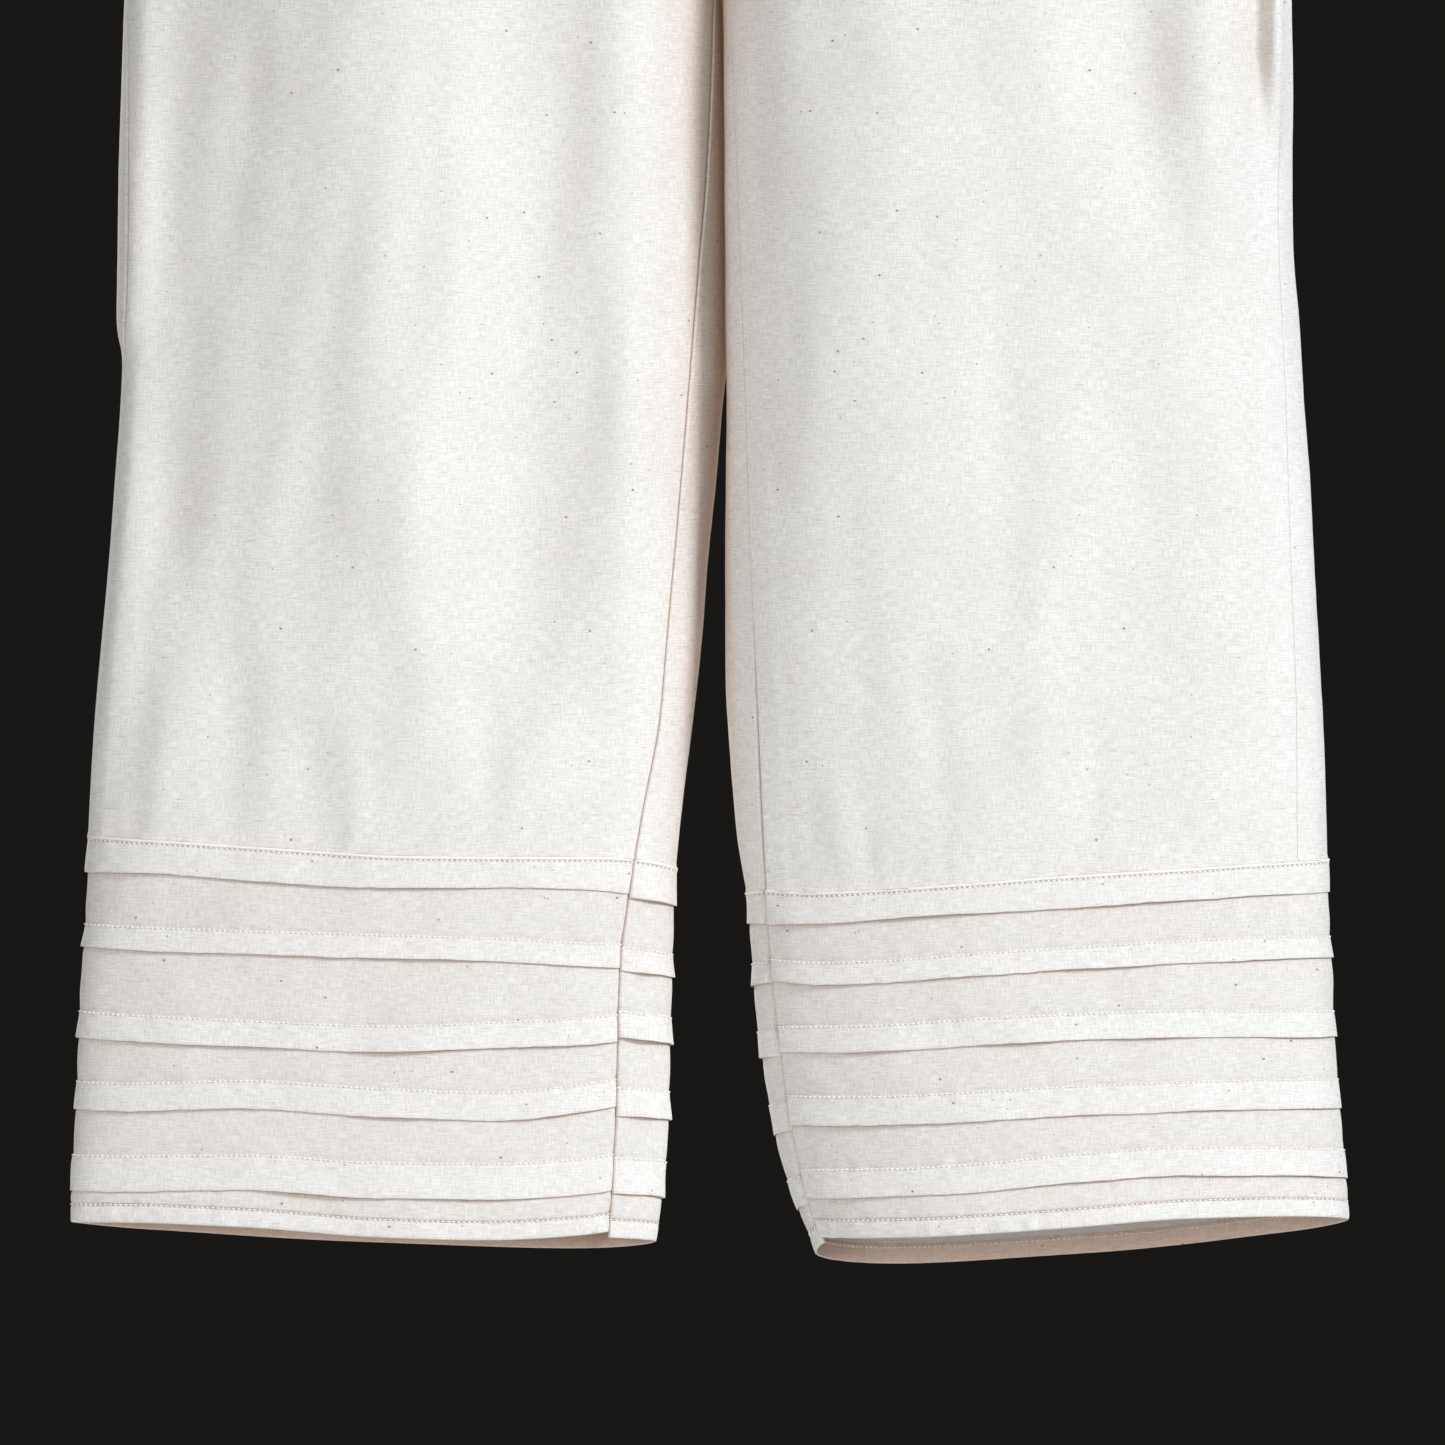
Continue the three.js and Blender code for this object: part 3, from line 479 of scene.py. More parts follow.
RIGHT_FRONT_FOLDS = table(
    FOLD_COLUMNS,
    (-130, -710, 56, 88, 42, 3.5, 130),
    (-150, -440, 186, 204, 26, -5.5, 100),
    (-150, -470, 228, 240, 20, 4, 110),
    (-420, -740, 196, 204, 20, -1.6, 90),
    (-560, -740, 236, 232, 20, 1.4, 60),
    (-180, -720, 30, 40, 26, 3.2, 110),
    (-320, -560, 40, 34, 10, -0.8, 90),
    (-380, -600, 132, 142, 14, -0.9, 80),
    (-520, -735, 158, 150, 12, 0.8, 70),
    (-668, -745, 44, 47, 5, -0.5, 35),
    (-676, -745, 58, 60, 4.5, 0.45, 35),
    (-682, -745, 72, 73, 5, -0.45, 30),
    (-634, -652, 66, 80, 5, -0.5, 9),
    (-600, -735, 98, 112, 8, -0.7, 50),
    (-640, -735, 180, 178, 7, -0.7, 40),
)
RIGHT_BACK_FOLDS = table(
    FOLD_COLUMNS,
    (-130, -600, 88, 70, 30, -4.5, 120),
    (-120, -700, 140, 162, 36, 3.5, 130),
    (-150, -540, 206, 224, 28, -4, 110),
    (-440, -730, 116, 108, 22, -2, 90),
)

# The cuffs: height of the joining seam, of the five tucks' folds and of the hem, at each angle in
# degrees from the inseam, round the front first. The last row is the inseam's other side.
CUFF_COLUMNS = "at join fold1 fold2 fold3 fold4 fold5 hem"
LEFT_CUFF = table(
    CUFF_COLUMNS,
    (0, -723, -739.7, -774.5, -809.2, -840.9, -880.2, -900.2),
    (11, -722.1, -737.8, -773.9, -810.9, -843.5, -882.6, -902.1),
    (31, -722, -736.4, -771.6, -812.8, -847.1, -884.5, -904),
    (53, -721.6, -736.9, -770, -814.5, -845.4, -884, -902.7),
    (81, -717.8, -734, -768.1, -812.1, -841.6, -880.4, -897.8),
    (111, -714, -729.6, -766.2, -809.5, -843, -881.1, -895.9),
    (146, -712.1, -729.2, -764.7, -807.8, -842.1, -880.7, -895.9),
    (191, -714, -731, -766.5, -810, -844.5, -883, -900),
    (236, -719, -736, -771, -813, -847, -887, -906),
    (281, -723, -741, -776, -813, -849, -888, -909),
    (326, -727.6, -745.4, -779.5, -811.1, -847.3, -884.2, -905.4),
    (360, -723, -741, -776, -807.8, -845, -882, -903),
)
RIGHT_CUFF = table(
    CUFF_COLUMNS,
    (0, -737.5, -754.5, -780.9, -815, -849.2, -884, -903),
    (18, -738.8, -753.5, -782.4, -814.8, -849.7, -883.7, -903),
    (35, -737.6, -751.9, -781.6, -813.9, -849.1, -883, -902.4),
    (55, -734.5, -748.8, -778.3, -810.9, -846.9, -880.2, -900.2),
    (73, -731.1, -746.5, -775.6, -808.9, -844.4, -875.9, -897.3),
    (97, -727.8, -743, -772.4, -807.3, -842.6, -873.1, -893.4),
    (120, -725, -740.4, -770.5, -807.6, -841.6, -873.5, -892.6),
    (160, -723, -738.8, -770.2, -807.8, -841.6, -875, -894.5),
    (205, -726, -743, -774, -811, -846, -881, -902),
    (250, -733, -750, -781, -818, -853, -889, -912),
    (295, -738, -755, -786, -821, -858, -894, -917),
    (340, -739, -754, -783.5, -817.8, -854.5, -890.2, -912),
    (360, -737.5, -753.8, -782, -816.5, -852, -887, -906),
)

# How deep each tuck is, from its stitching to its fold. The first one's stitching is the joining seam's.
LEFT_TUCK_DEPTHS = (None, 11.5, 13, 14, 17.5)
RIGHT_TUCK_DEPTHS = (None, 11, 13, 14.5, 14)
HEM_DEPTH = 8.8


def smooth(value):
    """Rises softly from 0 to 1 as the value does."""
    t = np.clip(value, 0, 1)
    return t * t * (3 - 2 * t)


def unit(vectors):
    """The same directions, one long."""
    return vectors / np.linalg.norm(vectors, axis=-1, keepdims=True)


def curve(rows, column, key="z"):
    """One column of a table as a smooth curve that never overshoots its rows."""
    knots = sorted((row[key], row[column]) for row in rows)
    at, height = np.array(knots, float).T
    rises = np.diff(height) / np.diff(at)
    before = np.concatenate([rises[:1], rises])
    after = np.concatenate([rises, rises[-1:]])
    same_way = before * after > 0
    slopes = np.where(same_way, 2 * before * after / np.where(same_way, before + after, 1), 0)

    def read(where):
        where = np.clip(where, at[0], at[-1])
        i = np.clip(np.searchsorted(at, where, side="right") - 1, 0, len(at) - 2)
        length = at[i + 1] - at[i]
        t = (where - at[i]) / length
        rise = height[i + 1] - height[i]
        start = slopes[i] * length
        end = slopes[i + 1] * length
        bend = (3 * rise - 2 * start - end) * t**2 + (start + end - 2 * rise) * t**3
        return height[i] + start * t + bend

    return read


def swells(kind, own_seed, u, v):
    """One kind of the cloth's unevenness, at points u across the cloth and v along it."""
    row = next(row for row in SWELLS if row["kind"] == kind)
    random = np.random.default_rng(row["seed"] + own_seed)
    turns = random.uniform(0, TURN, SWELL_WAVES)
    sizes = random.uniform(*SWELL_SIZES, SWELL_WAVES)
    phases = random.uniform(0, TURN, SWELL_WAVES)
    total = 0
    for turn, size, phase in zip(turns, sizes, phases):
        place = np.cos(turn) * u / row["across"] + np.sin(turn) * v / row["along"]
        total = total + np.sin(TURN * size * place + phase)
    return row["height"] * total / math.sqrt(SWELL_WAVES)


class Leg:
    """One leg's tables as curves. side is -1 for the left leg and 1 for the right."""

    def __init__(
        self, name, side, outline, depth, seams, front_folds, back_folds, cuff, tuck_depths, mouth_gapes
    ):
        self.name = name
        self.side = side
        self.front_folds = front_folds
        self.back_folds = back_folds
        self.tuck_depths = tuck_depths
        self.mouth_gapes = mouth_gapes
        for column in ("outer", "inner", "inner_y", "outer_y"):
            setattr(self, column, curve(outline, column))
        for column in ("front", "back"):
            setattr(self, column, curve(depth, column))
        self.inseam_x = curve(seams, "inseam")
        self.side_x = curve(seams, "side")
        self.lines = {column: curve(cuff, column, "at") for column in CUFF_COLUMNS.split()[1:]}

    def angle_at(self, z, x):
        """The angle at which the front reaches a given x."""
        part = (x - self.inner(z)) / (self.outer(z) - self.inner(z))
        return np.arccos(1 - 2 * np.clip(part, 0, 1))

    def inseam_angle(self, z):
        """The inseam starts at the crotch on the inner fold and moves on to the front below it."""
        read = np.minimum(z, SEAM_TABLE_TOP)
        return self.angle_at(read, self.inseam_x(read)) * smooth((CROTCH_Z - z) / INSEAM_TURN)

    def side_angle(self, z):
        """The side seam runs down the outer fold at the hips and moves on to the front lower down."""
        read = np.minimum(z, SEAM_TABLE_TOP)
        full = self.angle_at(read, self.side_x(read))
        return math.pi + (full - math.pi) * smooth((-BAND_HEIGHT - z) / SIDE_SEAM_TURN)

    def line(self, name, from_inseam):
        """The height of one of the cuff's lines at an angle from the inseam."""
        return self.lines[name](np.clip(from_inseam / DEGREE, 0, 360))

    def mouth_open(self, z):
        """How far the pocket mouth stands open at a height."""
        if not self.mouth_gapes:
            return np.zeros_like(z)
        return smooth((MOUTH_TOP_Z - z) / MOUTH_TOP_EASE) * smooth((z - MOUTH_END_Z) / MOUTH_END_EASE)


def fold_height(folds, x, z):
    """How far the folds raise or sink the cloth."""
    height = 0
    for fold in folds:
        along = (fold["top"] - z) / (fold["top"] - fold["bottom"])
        centre = fold["x"] + (fold["to_x"] - fold["x"]) * np.clip(along, 0, 1)
        ends = smooth((fold["top"] - z) / fold["fade"]) * smooth((z - fold["bottom"]) / fold["fade"])
        height = height + fold["out"] * ends * np.exp(-(((x - centre) / fold["width"]) ** 2))
    return height * FOLD_DEEPENING


def plain_point(leg, z, angle):
    """The leg's surface without its gathers."""
    turn = np.mod(angle, TURN)
    part = (1 - np.cos(turn)) / 2
    is_front = turn < math.pi
    rise = np.clip((z - CROTCH_Z) / np.where(is_front, FRONT_RISE, BACK_RISE), 0, 1) ** RISE_EASE
    near = (1 - np.minimum(2 * part, 1)) * (1 - rise)
    groove = np.sqrt(1 - near**2)
    lower = smooth((-BAND_HEIGHT - z) / ROUNDNESS_REACH)
    roundness = WAIST_ROUNDNESS + (LEG_ROUNDNESS - WAIST_ROUNDNESS) * lower
    swell = np.sqrt(np.maximum(1 - part**roundness, 0)) * groove
    x = leg.inner(z) + (leg.outer(z) - leg.inner(z)) * part
    folds = np.where(is_front, fold_height(leg.front_folds, x, z), fold_height(leg.back_folds, x, z))
    depth = np.where(is_front, leg.front(z), leg.back(z)) * swell + folds * np.sqrt(np.abs(np.sin(turn)))
    y = leg.inner_y(z) * (1 - part) + leg.outer_y(z) * part + np.where(is_front, -depth, depth)
    return np.stack(np.broadcast_arrays(x, y, z), axis=-1)


def outward(leg, z, angle, point_at):
    """The outward direction of a surface. Above the crotch it looks only to its own side of the centre."""
    centred = z > CROTCH_Z - STEP_DOWN
    low = np.where(centred, np.maximum(angle - STEP_ROUND, TINY_ANGLE), angle - STEP_ROUND)
    high = np.where(centred, np.minimum(angle + STEP_ROUND, TURN - TINY_ANGLE), angle + STEP_ROUND)
    around = point_at(leg, z, high) - point_at(leg, z, low)
    up = point_at(leg, z + STEP_DOWN, angle) - point_at(leg, z - STEP_DOWN, angle)
    return unit(np.cross(around, up) * leg.side)


def gather_height(z, angle):
    """The gathers are evenly spaced round the waist, shallow at their seam and deepest a little lower."""
    part = (1 - np.cos(angle)) / 2
    wave = np.sin(4 * PANEL_GATHERS * np.arcsin(np.clip(part, 0, 1)))
    from_band = smooth((-BAND_HEIGHT - z) / (-BAND_HEIGHT - GATHER_PEAK_Z))
    start = GATHER_AT_BAND + (1 - GATHER_AT_BAND) * from_band
    end = smooth((z - GATHER_END_Z) / (GATHER_PEAK_Z - GATHER_END_Z))
    return GATHER_DEPTH * wave * start * end


def surface_point(leg, z, angle):
    """A point of the leg's surface with its gathers, at a height and an angle."""
    z, angle = np.broadcast_arrays(np.asarray(z, float), np.asarray(angle, float))
    sideways = outward(leg, z, angle, plain_point)
    sideways[..., 2] = 0
    return plain_point(leg, z, angle) + unit(sideways) * gather_height(z, angle)[..., None]


def wall_direction(leg, z, angle):
    """The direction in which the cloth has its thickness: level under the waistband, and in the middle
    plane at the centre seams, so that the two sides meet edge to edge."""
    z, angle = np.broadcast_arrays(np.asarray(z, float), np.asarray(angle, float))
    direction = outward(leg, z, angle, surface_point)
    direction[..., 2] = np.where(z > -BAND_HEIGHT - 1, 0, direction[..., 2])
    from_centre = np.minimum(angle, np.abs(TURN - angle))
    turned = np.where(z > CROTCH_Z, smooth(from_centre / CENTRE_ANGLE - 1), 1)
    direction[..., 0] = direction[..., 0] * turned
    return unit(direction)


def cloth_mesh(name, sections, across, down, plies, material, is_ring=False, caps="strips"):
    """A closed piece of cloth from sections that each run round its thickness: points in mm, one row a
    section. across and down are the cloth's own measures in mm, kept in metres as its UV map, and plies is
    the attribute that its material reads."""
    count, around = sections.shape[:2]
    spans = count if is_ring else count - 1
    s, p = np.meshgrid(np.arange(spans), np.arange(around), indexing="ij")
    corners = [(s, p), (s + 1, p), (s + 1, p + 1), (s, p + 1)]
    quads = np.stack([(a % count) * around + b % around for a, b in corners], axis=-1).reshape(-1, 4)
    if is_ring:
        across = np.concatenate([across, across[-1:] * 2 - across[-2:-1]])
        down = np.concatenate([down, down[:1]])
    u = np.stack([across[a, b % around] for a, b in corners], axis=-1).reshape(-1)
    v = np.stack([down[a, b % around] for a, b in corners], axis=-1).reshape(-1)
    faces = [tuple(quad) for quad in quads.tolist()]
    uvs = list(zip(u.tolist(), v.tolist()))
    if not is_ring:
        for section, first in ((0, True), (count - 1, False)):
            base = section * around
            if caps == "strips":
                half = around // 2
                rims = [(k, k + 1, around - 2 - k, around - 1 - k) for k in range(half - 1)]
            else:
                rims = [tuple(range(around))]
            for rim in rims:
                rim = rim if first else rim[::-1]
                faces.append(tuple(base + k for k in rim))
                uvs.extend((across[section, k], down[section, k]) for k in rim)
    mesh = bpy.data.meshes.new(name)
    points = sections.reshape(-1, 3) * MM
    mesh.from_pydata(points.tolist(), [], faces)
    uv_map = mesh.uv_layers.new(name="cloth")
    uv_map.data.foreach_set("uv", (np.array(uvs, float) * MM).reshape(-1))
    doubled = mesh.attributes.new("plies", "FLOAT", "POINT")
    doubled.data.foreach_set("value", np.broadcast_to(plies, sections.shape[:2]).reshape(-1).astype(float))
    if signed_volume(points, quads) < 0:
        mesh.flip_normals()
    mesh.shade_smooth()
    mesh.materials.append(material)
    piece = bpy.data.objects.new(name, mesh)
    bpy.context.scene.collection.objects.link(piece)
    return piece


def signed_volume(points, quads):
    """Above zero where the faces of a closed piece point outwards."""
    a, b, c, d = (points[quads[:, k]] for k in range(4))
    return float(np.sum(a * np.cross(b, c)) + np.sum(a * np.cross(c, d)))


def surface_angles(leg, heights, start, end, spacing):
    """Angles that lie at given distances along the surface between two seams, a row for each height.
    spacing turns the cloth's width into the distances of its columns."""
    rows = []
    distances = []
    for z in heights:
        angles = np.linspace(start(z), end(z), POINTS_ROUND)
        points = surface_point(leg, np.full_like(angles, z), angles)
        steps = np.linalg.norm(np.diff(points, axis=0), axis=-1)
        along = np.concatenate([[0], np.cumsum(steps)])
        wanted = spacing(along[-1])
        rows.append(np.interp(wanted, along, angles))
        distances.append(wanted)
    return np.array(rows), np.array(distances)


def seam_spacing(width, columns):
    """Distances from a piece's first seam to its last, close together beside both."""
    first = SEAM_HALF_GAP + np.concatenate([[0], EDGE_STEPS])
    last = width - first[::-1]
    middle = np.linspace(first[-1], last[0], columns - 2 * len(first) + 2)[1:-1]
    return np.concatenate([first, middle, last])


def joining_line(leg, heights, angle_rows):
    """The height at which each of a panel's columns meets the cuff."""
    low_edge = np.full(angle_rows.shape[1], float(leg.line("join", 0)))
    for _ in range(4):
        angle = np.array([np.interp(-z, -heights, angle_rows[:, j]) for j, z in enumerate(low_edge)])
        low_edge = leg.line("join", angle - leg.inseam_angle(low_edge))
    return low_edge + JOIN_HALF_GAP


def panel_relief(leg, is_front, u, width, z, low_edge):
    """How far the cloth stands off the leg's plain surface: turned in at its seams, raised over their
    allowances, and uneven as handwoven cloth is. u runs from 0 to width between the seams."""
    seed = PANEL_SEEDS["front" if is_front else "back"] + (leg.side > 0) * RIGHT_PANEL_SEED
    from_inseam, from_side = (u, width - u) if is_front else (width - u, u)
    pressed = smooth((FLAT_INSEAM_END_Z - z) / FLAT_INSEAM_FADE) if leg.side > 0 else 1
    inseam_depth = FLAT_INSEAM_SHARE + (1 - FLAT_INSEAM_SHARE) * pressed
    side_depth = (RIGHT_SIDE_TURN_SHARE if leg.side > 0 else 1) * (1 - leg.mouth_open(z))
    turned = inseam_depth * smooth(1 - from_inseam / SEAM_TURN_WIDTH)
    turned = turned + side_depth * smooth(1 - from_side / SEAM_TURN_WIDTH)
    plies = 2 - smooth((from_side - ALLOWANCE_WIDTH) / ALLOWANCE_EDGE)
    plies = plies - smooth((from_inseam - ALLOWANCE_WIDTH) / ALLOWANCE_EDGE)
    above_join = z - low_edge
    away = JOIN_CALM_SHARE + (1 - JOIN_CALM_SHARE) * smooth(above_join / JOIN_CALM_WIDTH)
    streaks = swells("streak", seed, u, z)
    crumple = swells("crumple", seed, u, z) + swells("crinkle", seed, u, z)
    pucker = swells("pucker", seed, u, z) * smooth(1 - above_join / JOIN_PUCKER_WIDTH)
    risen = JOIN_RISE * smooth(1 - above_join / JOIN_RISE_WIDTH)
    free = smooth(np.minimum(from_inseam, from_side) / SEAM_HOLD_WIDTH)
    uneven = ((streaks + crumple) * away + pucker) * free
    relief = uneven + ALLOWANCE_HEIGHT * plies + risen - SEAM_TURN_IN * turned
    if leg.mouth_gapes and not is_front:
        dents = np.clip(swells("mouth_dent", seed, u, z), 0, None)
        relief = relief - dents * leg.mouth_open(z) * smooth(1 - from_side / MOUTH_DENT_WIDTH)
    return relief, LEG_PLIES + (1 - LEG_PLIES) * np.clip(plies, 0, 1)


def panel(leg, is_front, material):
    """A leg panel: one sheet of cloth between its two seams, from the waistband to the cuff."""
    top = -BAND_HEIGHT + BAND_OVERLAP
    lowest = leg.line("join", np.linspace(0, TURN, JOIN_SAMPLES)).min() - PANEL_SPARE
    heights = np.linspace(top, lowest, PANEL_LEVELS)

    def start(z):
        return leg.inseam_angle(z) if is_front else leg.side_angle(z)

    def end(z):
        if is_front:
            return leg.side_angle(z) + MOUTH_LAP * float(leg.mouth_open(z))
        return TURN + leg.inseam_angle(z)

    def spacing(width):
        return seam_spacing(width, PANEL_COLUMNS)

    angle_rows, distance_rows = surface_angles(leg, heights, start, end, spacing)
    widths = distance_rows[:, -1:] + SEAM_HALF_GAP
    low_edge = joining_line(leg, heights, angle_rows)
    downs = np.linspace(0, 1, PANEL_ROWS - len(LOW_EDGE_STEPS))[:-1]
    z = np.stack([
        np.concatenate([top + (low + LOW_EDGE_START - top) * downs, low + LOW_EDGE_STEPS[::-1]])
        for low in low_edge
    ])
    angle = np.empty_like(z)
    u = np.empty_like(z)
    width = np.empty_like(z)
    for column in range(z.shape[0]):
        angle[column] = np.interp(-z[column], -heights, angle_rows[:, column])
        u[column] = np.interp(-z[column], -heights, distance_rows[:, column])
        width[column] = np.interp(-z[column], -heights, widths[:, 0])
    direction = wall_direction(leg, z, angle)
    relief, plies = panel_relief(leg, is_front, u, width, z, low_edge[:, None])
    point = surface_point(leg, z, angle)
    point[..., 1] -= mouth_stand(leg, is_front, z, point[..., 0])
    outer = point + direction * (relief + CLOTH / 2)[..., None]
    inner = point + direction * (relief - CLOTH / 2)[..., None]
    sections = np.concatenate([outer, inner[:, ::-1]], axis=1)
    across = np.concatenate([u - width / 2, (u - width / 2)[:, ::-1]], axis=1)
    down = np.concatenate([z, z[:, ::-1]], axis=1)
    kind = "front" if is_front else "back"
    name = f"{kind}_{leg.name}"
    plies = np.concatenate([plies, np.full_like(plies, INSIDE)], axis=1)
    piece = cloth_mesh(f"cloth_{name}", sections, across, down, plies, material)
    finish_piece(piece, name)


def mouth_stand(leg, is_front, z, x):
    """How far forward the front panel stands beside its open pocket mouth, where it laps over the back."""
    if not is_front or not leg.mouth_gapes:
        return 0
    away = (leg.side_x(z) - x) * leg.side
    return MOUTH_STAND * leg.mouth_open(z) * (1 - smooth(away / MOUTH_STAND_WIDTH))


def finish_piece(piece, node):
    """Each piece of cloth stands for its CAD node and moves with the one body."""
    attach(piece, "root")
    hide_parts(node)


def even(start, end, count):
    """Evenly spaced values between two arrays of values, without the first."""
    steps = np.linspace(0, 1, count + 1)[1:]
    return start[:, None] + (end - start)[:, None] * steps


def cuff_profile(leg, from_inseam, u, width):
    """The cuff's section at each column, as heights and offsets from the leg's surface: down its outer
    face, in and out of the five tucks, round the hem and back up inside. Also says where it is stitched."""
    half = CLOTH / 2
    seed = (leg.side > 0) * RIGHT_CUFF_SEED
    heights = []
    offsets = []
    plies = []
    stitched = []

    def add(height, offset, doubled):
        height = np.asarray(height, float)
        if height.ndim == 1:
            height = height[:, None]
        heights.append(height)
        offsets.append(np.broadcast_to(np.asarray(offset, float), height.shape))
        plies.append(np.full(height.shape, float(doubled)))

    join = leg.line("join", from_inseam) - JOIN_HALF_GAP
    for drop, offset in RIDGE_PROFILE:
        # The crest of the ridge is marked for a painted highlight.
        is_crest = offset > RIDGE_CREST_STAND and RIDGE_CREST_DROPS[0] < drop < RIDGE_CREST_DROPS[1]
        add(join - drop, np.full((len(u), 1), half + offset), LIT_CREST if is_crest else 1)
    stitched.append(("join", join - RIDGE_STITCH, half + RIDGE_STITCH_STAND))
    from_end = np.minimum(u, width - u)
    caught = FLAP_CAUGHT_SHARE + (1 - FLAP_CAUGHT_SHARE) * smooth(from_end / FLAP_CAUGHT_WIDTH)
    for tuck in range(1, TUCKS + 1):
        wave = swells("fold_wave", seed + tuck, u, 0) + swells("fold_ripple", seed + tuck, u, 0)
        fold = leg.line(f"fold{tuck}", from_inseam) + wave
        if tuck == 1:
            start = join - RIDGE_PROFILE[-1][0]
        else:
            stitch = leg.line(f"fold{tuck}", from_inseam) + leg.tuck_depths[tuck - 1]
            for drop, offset in TUCK_START_PROFILE:
                add(stitch - drop, (half + offset * caught)[:, None], drop > 0)
            stitched.append((f"tuck{tuck}", stitch - TUCK_STITCH, half + TUCK_STITCH_STAND))
            start = stitch - TUCK_START_PROFILE[-1][0]
        lift = FLAP_LIFT * (0.5 + 0.5 * swells("flap_lift", seed + tuck, u, 0))
        beak = BEAK_LIFT * np.exp(-(((width - u - BEAK_PLACE) / BEAK_WIDTH) ** 2)) * (leg.side < 0)
        lift = np.clip(lift, FLAP_LEAST_LIFT, None) * caught + beak * (tuck < TUCKS)
        flap = even(start, fold + FLAP_PLIES / 2, FLAP_ROWS)
        share = np.linspace(0, 1, FLAP_ROWS + 1)[1:]
        first = RIDGE_PROFILE[-1][1] if tuck == 1 else FLAP_START * caught[:, None]
        risen = first + (FLAP_TOP * caught[:, None] - first) * share + FLAP_SWELL * np.sin(math.pi * share)
        front = half + risen + lift[:, None] * share**FLAP_LIFT_CURVE
        add(flap, front, 1)
        edge = front[:, -1]
        for turn in FOLD_TURNS:
            across = FLAP_PLIES / 2 * (np.cos(turn * DEGREE) - 1)
            drop = FLAP_PLIES / 2 * (1 - np.sin(turn * DEGREE))
            add(fold + drop, (edge + across)[:, None], 1)
        under_top = np.minimum(start - SLOT_SHORT_OF_START, fold + SLOT_DEPTH)
        under = even(fold + FLAP_PLIES / 2, under_top, SLOT_ROWS)
        rest = np.linspace(1, 0, SLOT_ROWS + 1)[1:]
        slot_end = half + SLOT_STAND
        under_edge = edge - FLAP_PLIES
        add(under, slot_end + (under_edge - slot_end)[:, None] * rest, 1)
        base_end = leg.line("hem", from_inseam) + HEM_DEPTH + BASE_PAST_HEM
        if tuck < TUCKS:
            base_end = leg.line(f"fold{tuck + 1}", from_inseam) + leg.tuck_depths[tuck] + BASE_PAST_TUCK
        hidden = even(under_top + 0.05, fold, HIDDEN_ROWS)
        add(hidden, np.full(hidden.shape, half), 0)
        shown = even(fold, base_end, BASE_ROWS)
        swell = BASE_SWELL * np.sin(np.linspace(0, math.pi, BASE_ROWS + 1)[1:]) ** BASE_SWELL_CURVE
        add(shown, half + swell, 0)
    hem = leg.line("hem", from_inseam)
    hem_top = hem + HEM_DEPTH
    for drop, offset in HEM_PROFILE:
        add(hem_top - drop, np.full((len(u), 1), offset), 1 if offset > HEM_OUTSIDE_FROM else INSIDE)
    stitched.append(("hem", hem_top - HEM_STITCH, half + HEM_STITCH_STAND))
    stitched.append(("hem_inside", hem_top - HEM_INSIDE_STITCH, -half - HEM_INSIDE_STITCH_STAND))
    inside = even(hem_top + INSIDE_ABOVE_HEM, join, INSIDE_ROWS)
    add(inside, np.full(inside.shape, -half), INSIDE)
    heights, offsets, plies = (np.concatenate(parts, axis=1) for parts in (heights, offsets, plies))
    return heights, offsets, plies, stitched


def cuff_relief(leg, u, width, z, lines):
    """The unevenness of a cuff's cloth, its puckers beside each row of stitches, and its turned-in ends."""
    seed = (leg.side > 0) * RIGHT_CUFF_SEED
    nearest = np.min([np.abs(z - line[:, None]) for line in lines], axis=0)
    pucker = swells("stitch_pucker", seed, u, z) * np.exp(-((nearest / PUCKER_REACH) ** 2))
    swell = swells("cuff_swell", seed, u, z) + swells("cuff_crumple", seed, u, z)
    from_hem = (z - lines[-1][:, None] + HEM_DEPTH / 2) / HEM_DEPTH
    wrinkle = swells("hem_wrinkle", seed, u, z) * np.exp(-(from_hem**2))
    from_end = np.minimum(u, width - u)
    is_back_end = u > width / 2
    if leg.side > 0:
        turn_in = np.where(is_back_end, BACK_END_TURN_IN, FRONT_END_TURN_IN)
        turn_width = np.where(is_back_end, BACK_END_TURN_WIDTH, SEAM_TURN_WIDTH)
        pinch = np.where(is_back_end, BACK_END_PINCH, 0)
    else:
        turn_in = SEAM_TURN_IN
        turn_width = SEAM_TURN_WIDTH
        pinch = SEAM_PINCH
    turned = turn_in * smooth(1 - from_end / turn_width)
    pinched = pinch * np.exp(-((from_end / PINCH_LENGTH) ** 2) - (nearest / PINCH_HEIGHT) ** 2)
    return pucker + wrinkle + swell * smooth(from_end / CUFF_END_HOLD_WIDTH) - turned - pinched


